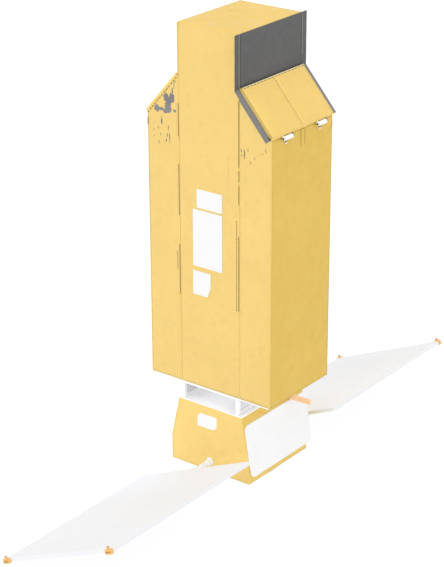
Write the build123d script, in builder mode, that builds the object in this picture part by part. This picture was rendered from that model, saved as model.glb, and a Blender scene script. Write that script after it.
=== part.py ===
from build123d import *
import math
import os

# A tall box-shaped space telescope on its service module, in millimetres.
# X runs along the wide front face, Y into the depth (the front face looks to -Y), Z up.
# The origin is the centre of the separation ring's lower face.

os.makedirs("parts", exist_ok=True)

# Separation ring, with a standard bolt circle
RING_HEIGHT = 100
RING_BOLT_CIRCLE = 985.8
RING_BOLT_COUNT = 60
RING_BOLT_RADIUS = 3.4
RING_INNER_RADIUS = 470
RING_WEB_RADIUS = 480
RING_FLANGE_RADIUS = 505
RING_FLANGE_HEIGHT = 12
RING_FILLET = 4

# Soft edges, by kind of piece
FOIL_EDGE = 6
PLATE_EDGE = 3
PANEL_EDGE = 5

# Service module (bus): six-sided in front view, the same depth as the telescope
DEPTH = 1200
BUS_WIDTH = 1200
BUS_TOP_WIDTH = 960
BUS_KINK_HEIGHT = 342
BUS_HEIGHT = 870
DECK_THICKNESS = 12
HATCH_LEFT = -190
HATCH_RIGHT = 105
HATCH_LOW = 577
HATCH_HIGH = 757
HATCH_CHAMFER = 48
HATCH_THICKNESS = 8

# White plates that stand off the bus's two sides, leaning out towards the bottom
RADIATOR_TOP = (553, 787)
RADIATOR_FOOT = (663, 122)
RADIATOR_LENGTHS = {"left": 960, "right": 1256}
RADIATOR_THICKNESS = 12
RADIATOR_CHAMFER = 45
STANDOFF_RADIUS = 14
STANDOFF_SPREAD = 400
STANDOFF_HEIGHTS = (230, 600)

# Antenna arms out of the bus's two shoulders
ARM_DEPTH = 300
ARM_REACH = 853
ARM_SIZE = 50
ARM_DROP = 30

# Interface frame between the bus and the telescope
FRAME_HEIGHT = 252
FRAME_WIDTH = 860
POST_SIZE = 42
RAIL_SIZE = 12
LEDGE_HEIGHT = 36
LEDGE_THICKNESS = 8
LEDGE_REACH = 14
SIDE_PANEL_THICKNESS = 6
BASE_PLATE_THICKNESS = 14
BASE_PLATE_WIDTH = 1756

# Telescope: a centre tower between two baffle boxes with slanted tops
BODY_WIDTH = 1800
TOWER_WIDTH = 890
TOWER_HEIGHT = 4502
SHOULDER_HEIGHT = 3342
SLANT_RISE = 524
WALL = 25
DIVIDER = 50
SEAM_WIDTH = 10
SEAM_DEPTH = 14

# Walls, aperture frames and doors, by height over the slanted line between shoulder and tower
WALL_RISE = 9
APERTURE_FRAME_THICKNESS = 14
APERTURE_EDGE = 45
DOOR_LIFT = 15
DOOR_THICKNESS = 24
DOOR_START = 3
DOOR_END = 688
DOOR_SIDE_CLEARANCE = 6
DOOR_POCKET_DEPTH = 12
DOOR_POCKET_CORNER = 22
DOOR_RIM = 46
DOOR_RIB = 30

# Door hinges, each with its motor on the hinge line
HINGE_OUT = 34
HINGE_DROP = 12
MOTOR_RADIUS = 26
MOTOR_CAP_RADIUS = 28
MOTOR_CAP_LENGTH = 14
MOTOR_CAP_CHAMFER = 4
MOTOR_LENGTH = 150
MOTOR_DEPTH = 335
SHAFT_RADIUS = 8
SHAFT_CLEARANCE = 0.05
LUG_THICKNESS = 12
LUG_RADIUS = 19
LUG_GAP = 6
LUG_INSET = 4
FOOT_WIDTH = 32
FOOT_LOW = 62
FOOT_HIGH = 8
FOOT_LOW_REACH = 8
FOOT_CRADLE_IN = 18
FOOT_CRADLE_OUT = 12
FOOT_CRADLE_RISE = 8

# Dark sunshade on the right side of the tower, with rails that bend down the slope
SHADE_THICKNESS = 6
SHADE_WIDTH = 1160
RAIL_LAP = 13
RAIL_OVERHANG = 90
RAIL_STOP = 14
RAIL_FLANGE = 80
RAIL_FLANGE_START = 20
RAIL_FLANGE_THICKNESS = 6

# White plates on the telescope's front face: left, right, low, high
FRONT_PLATES = (
    # name, left, right, bottom, top (heights above the base), width and height of the cut corner
    ("upper_front_radiator", -173, 198, 2316, 2548, 0, 0),
    ("middle_front_radiator", -232, 197, 1573, 2290, 0, 0),
    ("lower_front_radiator", -236, 26, 1207, 1512, 44, 132),
)
FRONT_PLATE_THICKNESS = 10

# Strip over the divider, on the outer walls just under the doors
STRIP_WIDTH = 76
STRIP_DROP = 4
STRIP_LENGTH = 188
STRIP_THICKNESS = 6

# Mirrors on the floors of the four bays
MIRROR_SIZE = (350, 390)
MIRROR_THICKNESS = 60
MIRROR_CURVE_RADIUS = 3200
MIRROR_HOLLOW = 9
FLOOR_THICKNESS = 25

# Solar wings, canted about the drive axis
WING_AXIS_HEIGHT = 236
WING_CANT = 23.84
WING_CHORD = 1779
WING_INNER = 891
WING_OUTER = 3402
WING_THICKNESS = 50
CELL_LAYER = 4
CELL_MARGIN = 40
DRIVE_FLANGE_RADIUS = 50
DRIVE_FLANGE_LENGTH = 14
DRIVE_RADIUS = 37
DRIVE_NOSE_RADIUS = 30
DRIVE_NOSE_LENGTH = 20
DRIVE_LENGTH = 90
WING_SHAFT_RADIUS = 20
WING_SHAFT_SOCKET = 50
YOKE_HUB_RADIUS = 30
YOKE_GAP = 6
YOKE_SHAFT_SEAT = 12
YOKE_START = 790
YOKE_NARROW = 90
YOKE_WIDE = 260
YOKE_THICKNESS = 34
YOKE_ARM = 26
YOKE_END = 16
SENSOR_SIZE = (100, 34, 62)
SENSOR_INSET = 30
SENSOR_CORNER = 8
SENSOR_HEAD_RADIUS = 16
SENSOR_HEAD_BORE = 11
SENSOR_HEAD_FLARE = 9
SENSOR_HEAD_LENGTH = 26
SENSOR_BORE_DEPTH = 18
SENSOR_EYE_RADIUS = 14
SENSOR_EYE_LENGTH = 12
SENSOR_EYE_SPACING = 44

# Derived heights
BUS_Z = RING_HEIGHT
DECK_Z = BUS_Z + BUS_HEIGHT
BODY_Z = DECK_Z + FRAME_HEIGHT
SHOULDER_Z = BODY_Z + SHOULDER_HEIGHT
TOWER_Z = BODY_Z + TOWER_HEIGHT
HALF_DEPTH = DEPTH / 2
HALF_BODY = BODY_WIDTH / 2
HALF_TOWER = TOWER_WIDTH / 2

# Slanted face: unit normal, and the height of a parallel plane at any width
SLANT_RUN = HALF_BODY - HALF_TOWER
SLANT_LENGTH = math.hypot(SLANT_RUN, SLANT_RISE)
NORMAL_X = SLANT_RISE / SLANT_LENGTH
NORMAL_Z = SLANT_RUN / SLANT_LENGTH

SIDES = (("left", -1), ("right", 1))
ROWS = (("front", -1), ("back", 1))


def write(piece, name):
    """Label a finished piece and write it as its own file."""
    piece.part.label = name
    export_step(piece.part, "parts/" + name + ".step")


def at_depth(y):
    """The upright plane at depth y; extruding from it runs towards the front."""
    return Plane.XZ.offset(-y)


def slant_z(x, offset):
    """Height at width x of the plane that lies offset outside the slanted face."""
    return SHOULDER_Z + (offset - (x - HALF_BODY) * NORMAL_X) / NORMAL_Z


def on_slant(along, offset):
    """Width and height of a point, from its distance up the slope and outside it."""
    x = HALF_BODY - along * NORMAL_Z + offset * NORMAL_X
    z = SHOULDER_Z + along * NORMAL_X + offset * NORMAL_Z
    return x, z


def turned(points, side):
    """Points of a right-hand outline, mirrored for the left side."""
    return [(side * x, z) for x, z in points]


def outer_edges(piece, direction):
    """Edges of the piece's faces that lie furthest in one direction."""
    outward = Axis((0, 0, 0), direction)
    return piece.faces().group_by(outward)[-1].edges()


# Separation ring: web with a bolted flange at each end
with BuildPart() as ring:
    with BuildSketch(Plane.XZ) as profile:
        Polygon(
            (RING_INNER_RADIUS, 0),
            (RING_FLANGE_RADIUS, 0),
            (RING_FLANGE_RADIUS, RING_FLANGE_HEIGHT),
            (RING_WEB_RADIUS, RING_FLANGE_HEIGHT),
            (RING_WEB_RADIUS, RING_HEIGHT - RING_FLANGE_HEIGHT),
            (RING_FLANGE_RADIUS, RING_HEIGHT - RING_FLANGE_HEIGHT),
            (RING_FLANGE_RADIUS, RING_HEIGHT),
            (RING_INNER_RADIUS, RING_HEIGHT),
            align=None,
        )
        fillet(profile.vertices().group_by(Axis.X)[1], RING_FILLET)
    revolve(axis=Axis.Z)
    with BuildSketch():
        with PolarLocations(RING_BOLT_CIRCLE / 2, RING_BOLT_COUNT):
            Circle(RING_BOLT_RADIUS)
    extrude(amount=RING_FLANGE_HEIGHT, mode=Mode.SUBTRACT)
write(ring, "separation_ring")

# Bus: one closed box with six-sided front and back faces
with BuildPart() as bus:
    with BuildSketch(Plane.XZ):
        Polygon(
            (-BUS_WIDTH / 2, BUS_Z),
            (BUS_WIDTH / 2, BUS_Z),
            (BUS_WIDTH / 2, BUS_Z + BUS_KINK_HEIGHT),
            (BUS_TOP_WIDTH / 2, DECK_Z),
            (-BUS_TOP_WIDTH / 2, DECK_Z),
            (-BUS_WIDTH / 2, BUS_Z + BUS_KINK_HEIGHT),
            align=None,
        )
    extrude(amount=HALF_DEPTH, both=True)
    fillet(bus.edges(), FOIL_EDGE)
write(bus, "bus_structure")

# Deck on top of the bus
with BuildPart() as deck:
    with BuildSketch(Plane.XY.offset(DECK_Z)):
        Rectangle(BUS_TOP_WIDTH, DEPTH)
    extrude(amount=DECK_THICKNESS)
write(deck, "bus_deck")

# White hatch on the bus's front face, two corners cut
with BuildPart() as hatch:
    with BuildSketch(at_depth(-HALF_DEPTH)):
        Polygon(
            (HATCH_LEFT, BUS_Z + HATCH_LOW),
            (HATCH_RIGHT - HATCH_CHAMFER, BUS_Z + HATCH_LOW),
            (HATCH_RIGHT, BUS_Z + HATCH_LOW + HATCH_CHAMFER),
            (HATCH_RIGHT, BUS_Z + HATCH_HIGH),
            (HATCH_LEFT + HATCH_CHAMFER, BUS_Z + HATCH_HIGH),
            (HATCH_LEFT, BUS_Z + HATCH_HIGH - HATCH_CHAMFER),
            align=None,
        )
    extrude(amount=HATCH_THICKNESS)
    fillet(outer_edges(hatch, (0, -1, 0)), PLATE_EDGE)
write(hatch, "bus_front_hatch")

# Side radiators: leaning plates held off the bus on round stand-offs
lean_x = RADIATOR_FOOT[0] - RADIATOR_TOP[0]
lean_z = RADIATOR_TOP[1] - RADIATOR_FOOT[1]
radiator_height = math.hypot(lean_x, lean_z)
radiators = {}
middle_x = (RADIATOR_TOP[0] + RADIATOR_FOOT[0]) / 2
middle_z = BUS_Z + (RADIATOR_TOP[1] + RADIATOR_FOOT[1]) / 2
for side, sign in SIDES:
    outward = (sign * lean_z, 0, lean_x)
    face = Plane(origin=(sign * middle_x, 0, middle_z), x_dir=(0, sign, 0), z_dir=outward)
    with BuildPart() as radiator:
        with BuildSketch(face) as outline:
            Rectangle(RADIATOR_LENGTHS[side], radiator_height)
            chamfer(outline.vertices(), RADIATOR_CHAMFER)
        extrude(amount=-RADIATOR_THICKNESS)
        fillet(outer_edges(radiator, outward), PLATE_EDGE)
    radiators[side] = radiator.part
    write(radiator, side + "_side_radiator")

with BuildPart() as standoffs:
    for side, sign in SIDES:
        for height in STANDOFF_HEIGHTS:
            for row, across in ROWS:
                with BuildSketch(Plane.YZ.offset(sign * BUS_TOP_WIDTH / 2)):
                    with Locations((across * STANDOFF_SPREAD, BUS_Z + height)):
                        Circle(STANDOFF_RADIUS)
                extrude(amount=sign * (RADIATOR_FOOT[0] - BUS_TOP_WIDTH / 2))
    add(bus.part, mode=Mode.SUBTRACT)
    for side, sign in SIDES:
        add(radiators[side], mode=Mode.SUBTRACT)
        with BuildSketch(Plane.XZ):
            Polygon(
                *turned(
                    [
                        (RADIATOR_TOP[0], BUS_Z + RADIATOR_TOP[1]),
                        (RADIATOR_FOOT[0], BUS_Z + RADIATOR_FOOT[1]),
                        (2 * RADIATOR_FOOT[0], BUS_Z + RADIATOR_FOOT[1]),
                        (2 * RADIATOR_FOOT[0], BUS_Z + RADIATOR_TOP[1]),
                    ],
                    sign,
                ),
                align=None,
            )
        extrude(amount=HALF_DEPTH, both=True, mode=Mode.SUBTRACT)
write(standoffs, "radiator_standoffs")

# Antenna arms, straight out of the bus's shoulders
with BuildPart() as arms:
    for side, sign in SIDES:
        with BuildSketch(Plane.YZ.offset(sign * BUS_TOP_WIDTH / 2)):
            with Locations((ARM_DEPTH, DECK_Z - ARM_DROP)):
                Rectangle(ARM_SIZE, ARM_SIZE)
        extrude(amount=sign * (ARM_REACH - BUS_TOP_WIDTH / 2))
    add(bus.part, mode=Mode.SUBTRACT)
write(arms, "antenna_arms")

# Interface frame: four posts, top and bottom rails, and a ledge along each side
frame_top = BODY_Z - BASE_PLATE_THICKNESS
frame_low = DECK_Z + DECK_THICKNESS
post_x = FRAME_WIDTH / 2 - POST_SIZE / 2
post_y = HALF_DEPTH - POST_SIZE / 2
with BuildPart() as frame:
    with BuildSketch(Plane.XY.offset(frame_low)):
        with GridLocations(2 * post_x, 2 * post_y, 2, 2):
            Rectangle(POST_SIZE, POST_SIZE)
    extrude(amount=frame_top - frame_low)
    with BuildSketch(Plane.XY.offset(frame_top - RAIL_SIZE)):
        with GridLocations(2 * post_x, 0, 2, 1):
            Rectangle(POST_SIZE, DEPTH)
        with GridLocations(0, 2 * post_y, 1, 2):
            Rectangle(FRAME_WIDTH, POST_SIZE)
    extrude(amount=RAIL_SIZE)
    with BuildSketch(Plane.XY.offset(frame_low + LEDGE_HEIGHT)):
        with GridLocations(2 * post_x + LEDGE_REACH, 0, 2, 1):
            Rectangle(POST_SIZE + LEDGE_REACH, DEPTH)
    extrude(amount=LEDGE_THICKNESS)
write(frame, "interface_frame")

# Closing panels on the two sides of the interface, above the ledges
panel_low = frame_low + LEDGE_HEIGHT + LEDGE_THICKNESS
with BuildPart() as side_panels:
    with BuildSketch(Plane.XY.offset(panel_low)):
        with GridLocations(FRAME_WIDTH - POST_SIZE, 0, 2, 1):
            Rectangle(SIDE_PANEL_THICKNESS, DEPTH - 2 * POST_SIZE)
    extrude(amount=frame_top - RAIL_SIZE - panel_low)
write(side_panels, "interface_side_panels")

# Telescope's base plate
with BuildPart() as base_plate:
    with BuildSketch(Plane.XY.offset(frame_top)):
        Rectangle(BASE_PLATE_WIDTH, DEPTH)
    extrude(amount=BASE_PLATE_THICKNESS)
write(base_plate, "telescope_base_plate")

# Centre tower, with a seam groove down each of its four corners beside the baffle boxes
with BuildPart() as tower:
    with BuildSketch(Plane.XY.offset(BODY_Z)):
        Rectangle(TOWER_WIDTH, DEPTH)
    extrude(amount=TOWER_HEIGHT)
    with BuildSketch(Plane.XY.offset(BODY_Z)):
        with GridLocations(TOWER_WIDTH - SEAM_WIDTH, DEPTH - SEAM_DEPTH, 2, 2):
            Rectangle(SEAM_WIDTH, SEAM_DEPTH)
    extrude(amount=slant_z(HALF_TOWER, WALL_RISE) - BODY_Z, mode=Mode.SUBTRACT)
    fillet(outer_edges(tower, (0, 0, 1)).sort_by(Axis.X)[:-1], FOIL_EDGE)
write(tower, "centre_tower")

# Baffle boxes: front, back and outer walls, dividers and floors, on both sides
frame_seat = WALL_RISE - APERTURE_FRAME_THICKNESS
inner_x = HALF_BODY - WALL
wall_outline = [
    (HALF_TOWER, BODY_Z),
    (HALF_BODY, BODY_Z),
    (HALF_BODY, slant_z(HALF_BODY, WALL_RISE)),
    (HALF_TOWER, slant_z(HALF_TOWER, WALL_RISE)),
]
divider_outline = [
    (HALF_TOWER, BODY_Z + FLOOR_THICKNESS),
    (inner_x, BODY_Z + FLOOR_THICKNESS),
    (inner_x, slant_z(inner_x, frame_seat)),
    (HALF_TOWER, slant_z(HALF_TOWER, frame_seat)),
]
outer_outline = [
    (inner_x, BODY_Z),
    (HALF_BODY, BODY_Z),
    (HALF_BODY, slant_z(HALF_BODY, WALL_RISE)),
    (inner_x, slant_z(inner_x, WALL_RISE)),
]
baffle_walls = {}
for row, across in ROWS:
    with BuildPart() as row_walls:
        for side, sign in SIDES:
            with BuildSketch(at_depth(across * (HALF_DEPTH - WALL / 2))):
                Polygon(*turned(wall_outline, sign), align=None)
        extrude(amount=WALL / 2, both=True)
        corners = outer_edges(row_walls, (0, across, 0)).filter_by(Axis.Z).sort_by(Axis.X)
        fillet([corners[0], corners[-1]], FOIL_EDGE)
    baffle_walls[row] = row_walls.part
    write(row_walls, "baffle_" + row + "_walls")

for side, sign in SIDES:
    with BuildPart() as outer_wall:
        with BuildSketch(Plane.XZ):
            Polygon(*turned(outer_outline, sign), align=None)
        extrude(amount=HALF_DEPTH - WALL, both=True)
    write(outer_wall, side + "_baffle_outer_wall")

with BuildPart() as dividers:
    for side, sign in SIDES:
        with BuildSketch(Plane.XZ):
            Polygon(*turned(divider_outline, sign), align=None)
    extrude(amount=DIVIDER / 2, both=True)
write(dividers, "baffle_dividers")

bay_width = inner_x - HALF_TOWER
bay_x = HALF_TOWER + bay_width / 2
bay_depth = HALF_DEPTH - WALL - DIVIDER / 2
bay_y = DIVIDER / 2 + bay_depth / 2
with BuildPart() as floors:
    with BuildSketch(Plane.XY.offset(BODY_Z)):
        with GridLocations(2 * bay_x, 0, 2, 1):
            Rectangle(bay_width, DEPTH - 2 * WALL)
    extrude(amount=FLOOR_THICKNESS)
write(floors, "baffle_floors")

# One hollow-ground mirror on the floor of each bay
mirror_top = BODY_Z + FLOOR_THICKNESS + MIRROR_THICKNESS
with BuildPart() as mirrors:
    with BuildSketch(Plane.XY.offset(BODY_Z + FLOOR_THICKNESS)):
        with GridLocations(2 * bay_x, 2 * bay_y, 2, 2):
            Rectangle(*MIRROR_SIZE)
    extrude(amount=MIRROR_THICKNESS)
    with Locations((0, 0, mirror_top - MIRROR_HOLLOW + MIRROR_CURVE_RADIUS)):
        with GridLocations(2 * bay_x, 2 * bay_y, 2, 2):
            Sphere(MIRROR_CURVE_RADIUS, mode=Mode.SUBTRACT)
write(mirrors, "bay_mirrors")

# Cover strips over the dividers' outer edges, under the doors
with BuildPart() as strips:
    for side, sign in SIDES:
        with BuildSketch(Plane.YZ.offset(sign * HALF_BODY)):
            with Locations((0, SHOULDER_Z - STRIP_DROP - STRIP_LENGTH / 2)):
                Rectangle(STRIP_WIDTH, STRIP_LENGTH)
        extrude(amount=sign * STRIP_THICKNESS)
write(strips, "divider_cover_strips")

# Aperture frames let into the slanted tops, open over each bay
frame_outline = [
    (inner_x, slant_z(inner_x, frame_seat)),
    (inner_x, slant_z(inner_x, WALL_RISE)),
    (HALF_TOWER, slant_z(HALF_TOWER, WALL_RISE)),
    (HALF_TOWER, slant_z(HALF_TOWER, frame_seat)),
]
for side, sign in SIDES:
    with BuildPart() as aperture_frame:
        with BuildSketch(Plane.XZ):
            Polygon(*turned(frame_outline, sign), align=None)
        extrude(amount=HALF_DEPTH - WALL, both=True)
        with BuildSketch(Plane.XY.offset(BODY_Z)):
            with GridLocations(0, 2 * bay_y, 1, 2):
                with Locations((sign * bay_x, 0)):
                    Rectangle(bay_width - 2 * APERTURE_EDGE, bay_depth - 2 * APERTURE_EDGE)
        extrude(amount=TOWER_HEIGHT, mode=Mode.SUBTRACT)
    write(aperture_frame, side + "_aperture_frame")

# Doors with their hinge lugs, motors with shafts, and motor feet
hinge_x = HALF_BODY + HINGE_OUT
hinge_z = SHOULDER_Z - HINGE_DROP
door_top = DOOR_LIFT + DOOR_THICKNESS
door_outline = [
    on_slant(DOOR_START, door_top),
    on_slant(DOOR_END, door_top),
    on_slant(DOOR_END, DOOR_LIFT),
    on_slant(DOOR_START, DOOR_LIFT),
]
door_middle = HALF_DEPTH / 2
door_width = HALF_DEPTH - 2 * DOOR_SIDE_CLEARANCE
door_length = DOOR_END - DOOR_START
pocket_width = (door_width - 2 * DOOR_RIM - DOOR_RIB) / 2
pocket_length = (door_length - 2 * DOOR_RIM - DOOR_RIB) / 2
inside_x, inside_z = on_slant((DOOR_START + DOOR_END) / 2, DOOR_LIFT)
lug_offset = MOTOR_LENGTH / 2 + LUG_GAP
lug_middle = lug_offset + LUG_THICKNESS / 2
shaft_half = lug_offset + LUG_THICKNESS + LUG_GAP
lug_foot = [on_slant(DOOR_START, door_top - LUG_INSET), on_slant(DOOR_START, DOOR_LIFT + LUG_INSET)]
half_motor = MOTOR_LENGTH / 2
motor_profile = [
    (-half_motor, 0),
    (-half_motor, MOTOR_CAP_RADIUS - MOTOR_CAP_CHAMFER),
    (-half_motor + MOTOR_CAP_CHAMFER, MOTOR_CAP_RADIUS),
    (-half_motor + MOTOR_CAP_LENGTH, MOTOR_CAP_RADIUS),
    (-half_motor + MOTOR_CAP_LENGTH, MOTOR_RADIUS),
    (half_motor - MOTOR_CAP_LENGTH, MOTOR_RADIUS),
    (half_motor - MOTOR_CAP_LENGTH, MOTOR_CAP_RADIUS),
    (half_motor - MOTOR_CAP_CHAMFER, MOTOR_CAP_RADIUS),
    (half_motor, MOTOR_CAP_RADIUS - MOTOR_CAP_CHAMFER),
    (half_motor, 0),
]
for side, sign in SIDES:
    outward = (sign * NORMAL_X, 0, NORMAL_Z)
    door_inside = Plane(origin=(sign * inside_x, 0, inside_z), x_dir=(0, sign, 0), z_dir=outward)
    for row, across in ROWS:
        name = "door_" + side + "_" + row
        with BuildPart() as door:
            with BuildSketch(at_depth(across * door_middle + door_width / 2)):
                Polygon(*turned(door_outline, sign), align=None)
            extrude(amount=door_width)
            fillet(outer_edges(door, outward), PLATE_EDGE)
            with BuildSketch(door_inside):
                with Locations((across * sign * door_middle, 0)):
                    with GridLocations(pocket_width + DOOR_RIB, pocket_length + DOOR_RIB, 2, 2):
                        RectangleRounded(pocket_width, pocket_length, DOOR_POCKET_CORNER)
            extrude(amount=DOOR_POCKET_DEPTH, mode=Mode.SUBTRACT)
        write(door, name)

        with BuildPart() as lugs:
            for end in (-1, 1):
                lug_face = across * MOTOR_DEPTH + end * lug_middle + LUG_THICKNESS / 2
                with BuildSketch(at_depth(lug_face)):
                    with BuildLine():
                        Line(*turned(lug_foot, sign))
                    with Locations((sign * hinge_x, hinge_z)):
                        Circle(LUG_RADIUS)
                    make_hull()
                    with Locations((sign * hinge_x, hinge_z)):
                        Circle(SHAFT_RADIUS + SHAFT_CLEARANCE, mode=Mode.SUBTRACT)
                extrude(amount=LUG_THICKNESS)
        write(lugs, name + "_lugs")

        motor_middle = (sign * hinge_x, across * MOTOR_DEPTH, hinge_z)
        with BuildPart() as motor:
            with BuildSketch(Plane(origin=motor_middle, x_dir=(0, 1, 0), z_dir=(1, 0, 0))):
                Polygon(*motor_profile, align=None)
            revolve(axis=Axis(motor_middle, (0, 1, 0)))
            with BuildSketch(at_depth(across * MOTOR_DEPTH)):
                with Locations((sign * hinge_x, hinge_z)):
                    Circle(SHAFT_RADIUS)
            extrude(amount=shaft_half, both=True)
        write(motor, "motor_" + side + "_" + row)

cradle_z = hinge_z - MOTOR_RADIUS + FOOT_CRADLE_RISE
foot_outline = [
    (HALF_BODY, hinge_z - FOOT_LOW),
    (HALF_BODY + FOOT_LOW_REACH, hinge_z - FOOT_LOW),
    (hinge_x + FOOT_CRADLE_OUT, cradle_z),
    (hinge_x - FOOT_CRADLE_IN, cradle_z),
    (HALF_BODY, hinge_z - FOOT_HIGH),
]
with BuildPart() as feet:
    for side, sign in SIDES:
        for row, across in ROWS:
            with BuildSketch(at_depth(across * MOTOR_DEPTH)):
                Polygon(*turned(foot_outline, sign), align=None)
            extrude(amount=FOOT_WIDTH / 2, both=True)
            with BuildSketch(at_depth(across * MOTOR_DEPTH)):
                with Locations((sign * hinge_x, hinge_z)):
                    Circle(MOTOR_RADIUS)
            extrude(amount=FOOT_WIDTH, both=True, mode=Mode.SUBTRACT)
write(feet, "motor_feet")

# Dark sunshade on the tower's right face, and its two bent rails
shade_x = HALF_TOWER + SHADE_THICKNESS
with BuildPart() as shade:
    with BuildSketch(Plane.XZ):
        Polygon(
            (HALF_TOWER, slant_z(HALF_TOWER, WALL_RISE)),
            (HALF_TOWER, TOWER_Z),
            (shade_x, TOWER_Z),
            (shade_x, slant_z(shade_x, WALL_RISE)),
            align=None,
        )
    extrude(amount=SHADE_WIDTH / 2, both=True)
write(shade, "tower_sunshade")

for row, across in ROWS:
    with BuildPart() as rail:
        with BuildSketch(at_depth(across * (HALF_DEPTH + (RAIL_OVERHANG - RAIL_LAP) / 2))):
            Polygon(
                (HALF_TOWER, slant_z(HALF_TOWER, 0)),
                (HALF_TOWER, TOWER_Z),
                (shade_x, TOWER_Z),
                (shade_x, slant_z(shade_x, 0)),
                align=None,
            )
        extrude(amount=(RAIL_OVERHANG + RAIL_LAP) / 2, both=True)
        with BuildSketch(at_depth(across * (HALF_DEPTH + RAIL_OVERHANG / 2))):
            Polygon(
                on_slant(RAIL_STOP, 0),
                (HALF_TOWER, slant_z(HALF_TOWER, 0)),
                (HALF_TOWER, slant_z(HALF_TOWER, -SHADE_THICKNESS)),
                on_slant(RAIL_STOP, -SHADE_THICKNESS),
                align=None,
            )
        extrude(amount=RAIL_OVERHANG / 2, both=True)
        with BuildSketch(at_depth(across * (HALF_DEPTH + RAIL_FLANGE_THICKNESS / 2))):
            Polygon(
                on_slant(RAIL_FLANGE_START, -SHADE_THICKNESS),
                (HALF_TOWER, slant_z(HALF_TOWER, -SHADE_THICKNESS)),
                (HALF_TOWER, slant_z(HALF_TOWER, -SHADE_THICKNESS - RAIL_FLANGE)),
                on_slant(RAIL_FLANGE_START, -SHADE_THICKNESS - RAIL_FLANGE),
                align=None,
            )
        extrude(amount=RAIL_FLANGE_THICKNESS / 2, both=True)
        add(baffle_walls[row], mode=Mode.SUBTRACT)
    write(rail, row + "_shade_rail")

# White plates on the telescope's front face
for name, left, right, low, high, cut_width, cut_height in FRONT_PLATES:
    with BuildPart() as plate:
        with BuildSketch(at_depth(-HALF_DEPTH)):
            with Locations(((left + right) / 2, BODY_Z + (low + high) / 2)):
                Rectangle(right - left, high - low)
            if cut_width:
                Polygon(
                    (right - cut_width, BODY_Z + low),
                    (right, BODY_Z + low),
                    (right, BODY_Z + low + cut_height),
                    align=None,
                    mode=Mode.SUBTRACT,
                )
        extrude(amount=FRONT_PLATE_THICKNESS)
        fillet(outer_edges(plate, (0, -1, 0)), PLATE_EDGE)
    write(plate, name)

# Solar wings: canted panels with a cell layer below, yokes, drives and corner sensors
cant = math.radians(WING_CANT)
chord_way = (math.cos(cant), 0, math.sin(cant))
wing_up = (-math.sin(cant), 0, math.cos(cant))
wing_plane = Plane(origin=(0, 0, WING_AXIS_HEIGHT), x_dir=chord_way, z_dir=wing_up)
wing_length = WING_OUTER - WING_INNER
wing_middle = (WING_OUTER + WING_INNER) / 2
arm_slope = (YOKE_WIDE - YOKE_NARROW) / (WING_INNER - YOKE_START)
drive_profile = [
    (HALF_DEPTH, 0),
    (HALF_DEPTH, DRIVE_FLANGE_RADIUS),
    (HALF_DEPTH + DRIVE_FLANGE_LENGTH, DRIVE_FLANGE_RADIUS),
    (HALF_DEPTH + DRIVE_FLANGE_LENGTH, DRIVE_RADIUS),
    (HALF_DEPTH + DRIVE_LENGTH - DRIVE_NOSE_LENGTH, DRIVE_RADIUS),
    (HALF_DEPTH + DRIVE_LENGTH, DRIVE_NOSE_RADIUS),
    (HALF_DEPTH + DRIVE_LENGTH, 0),
]
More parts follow.
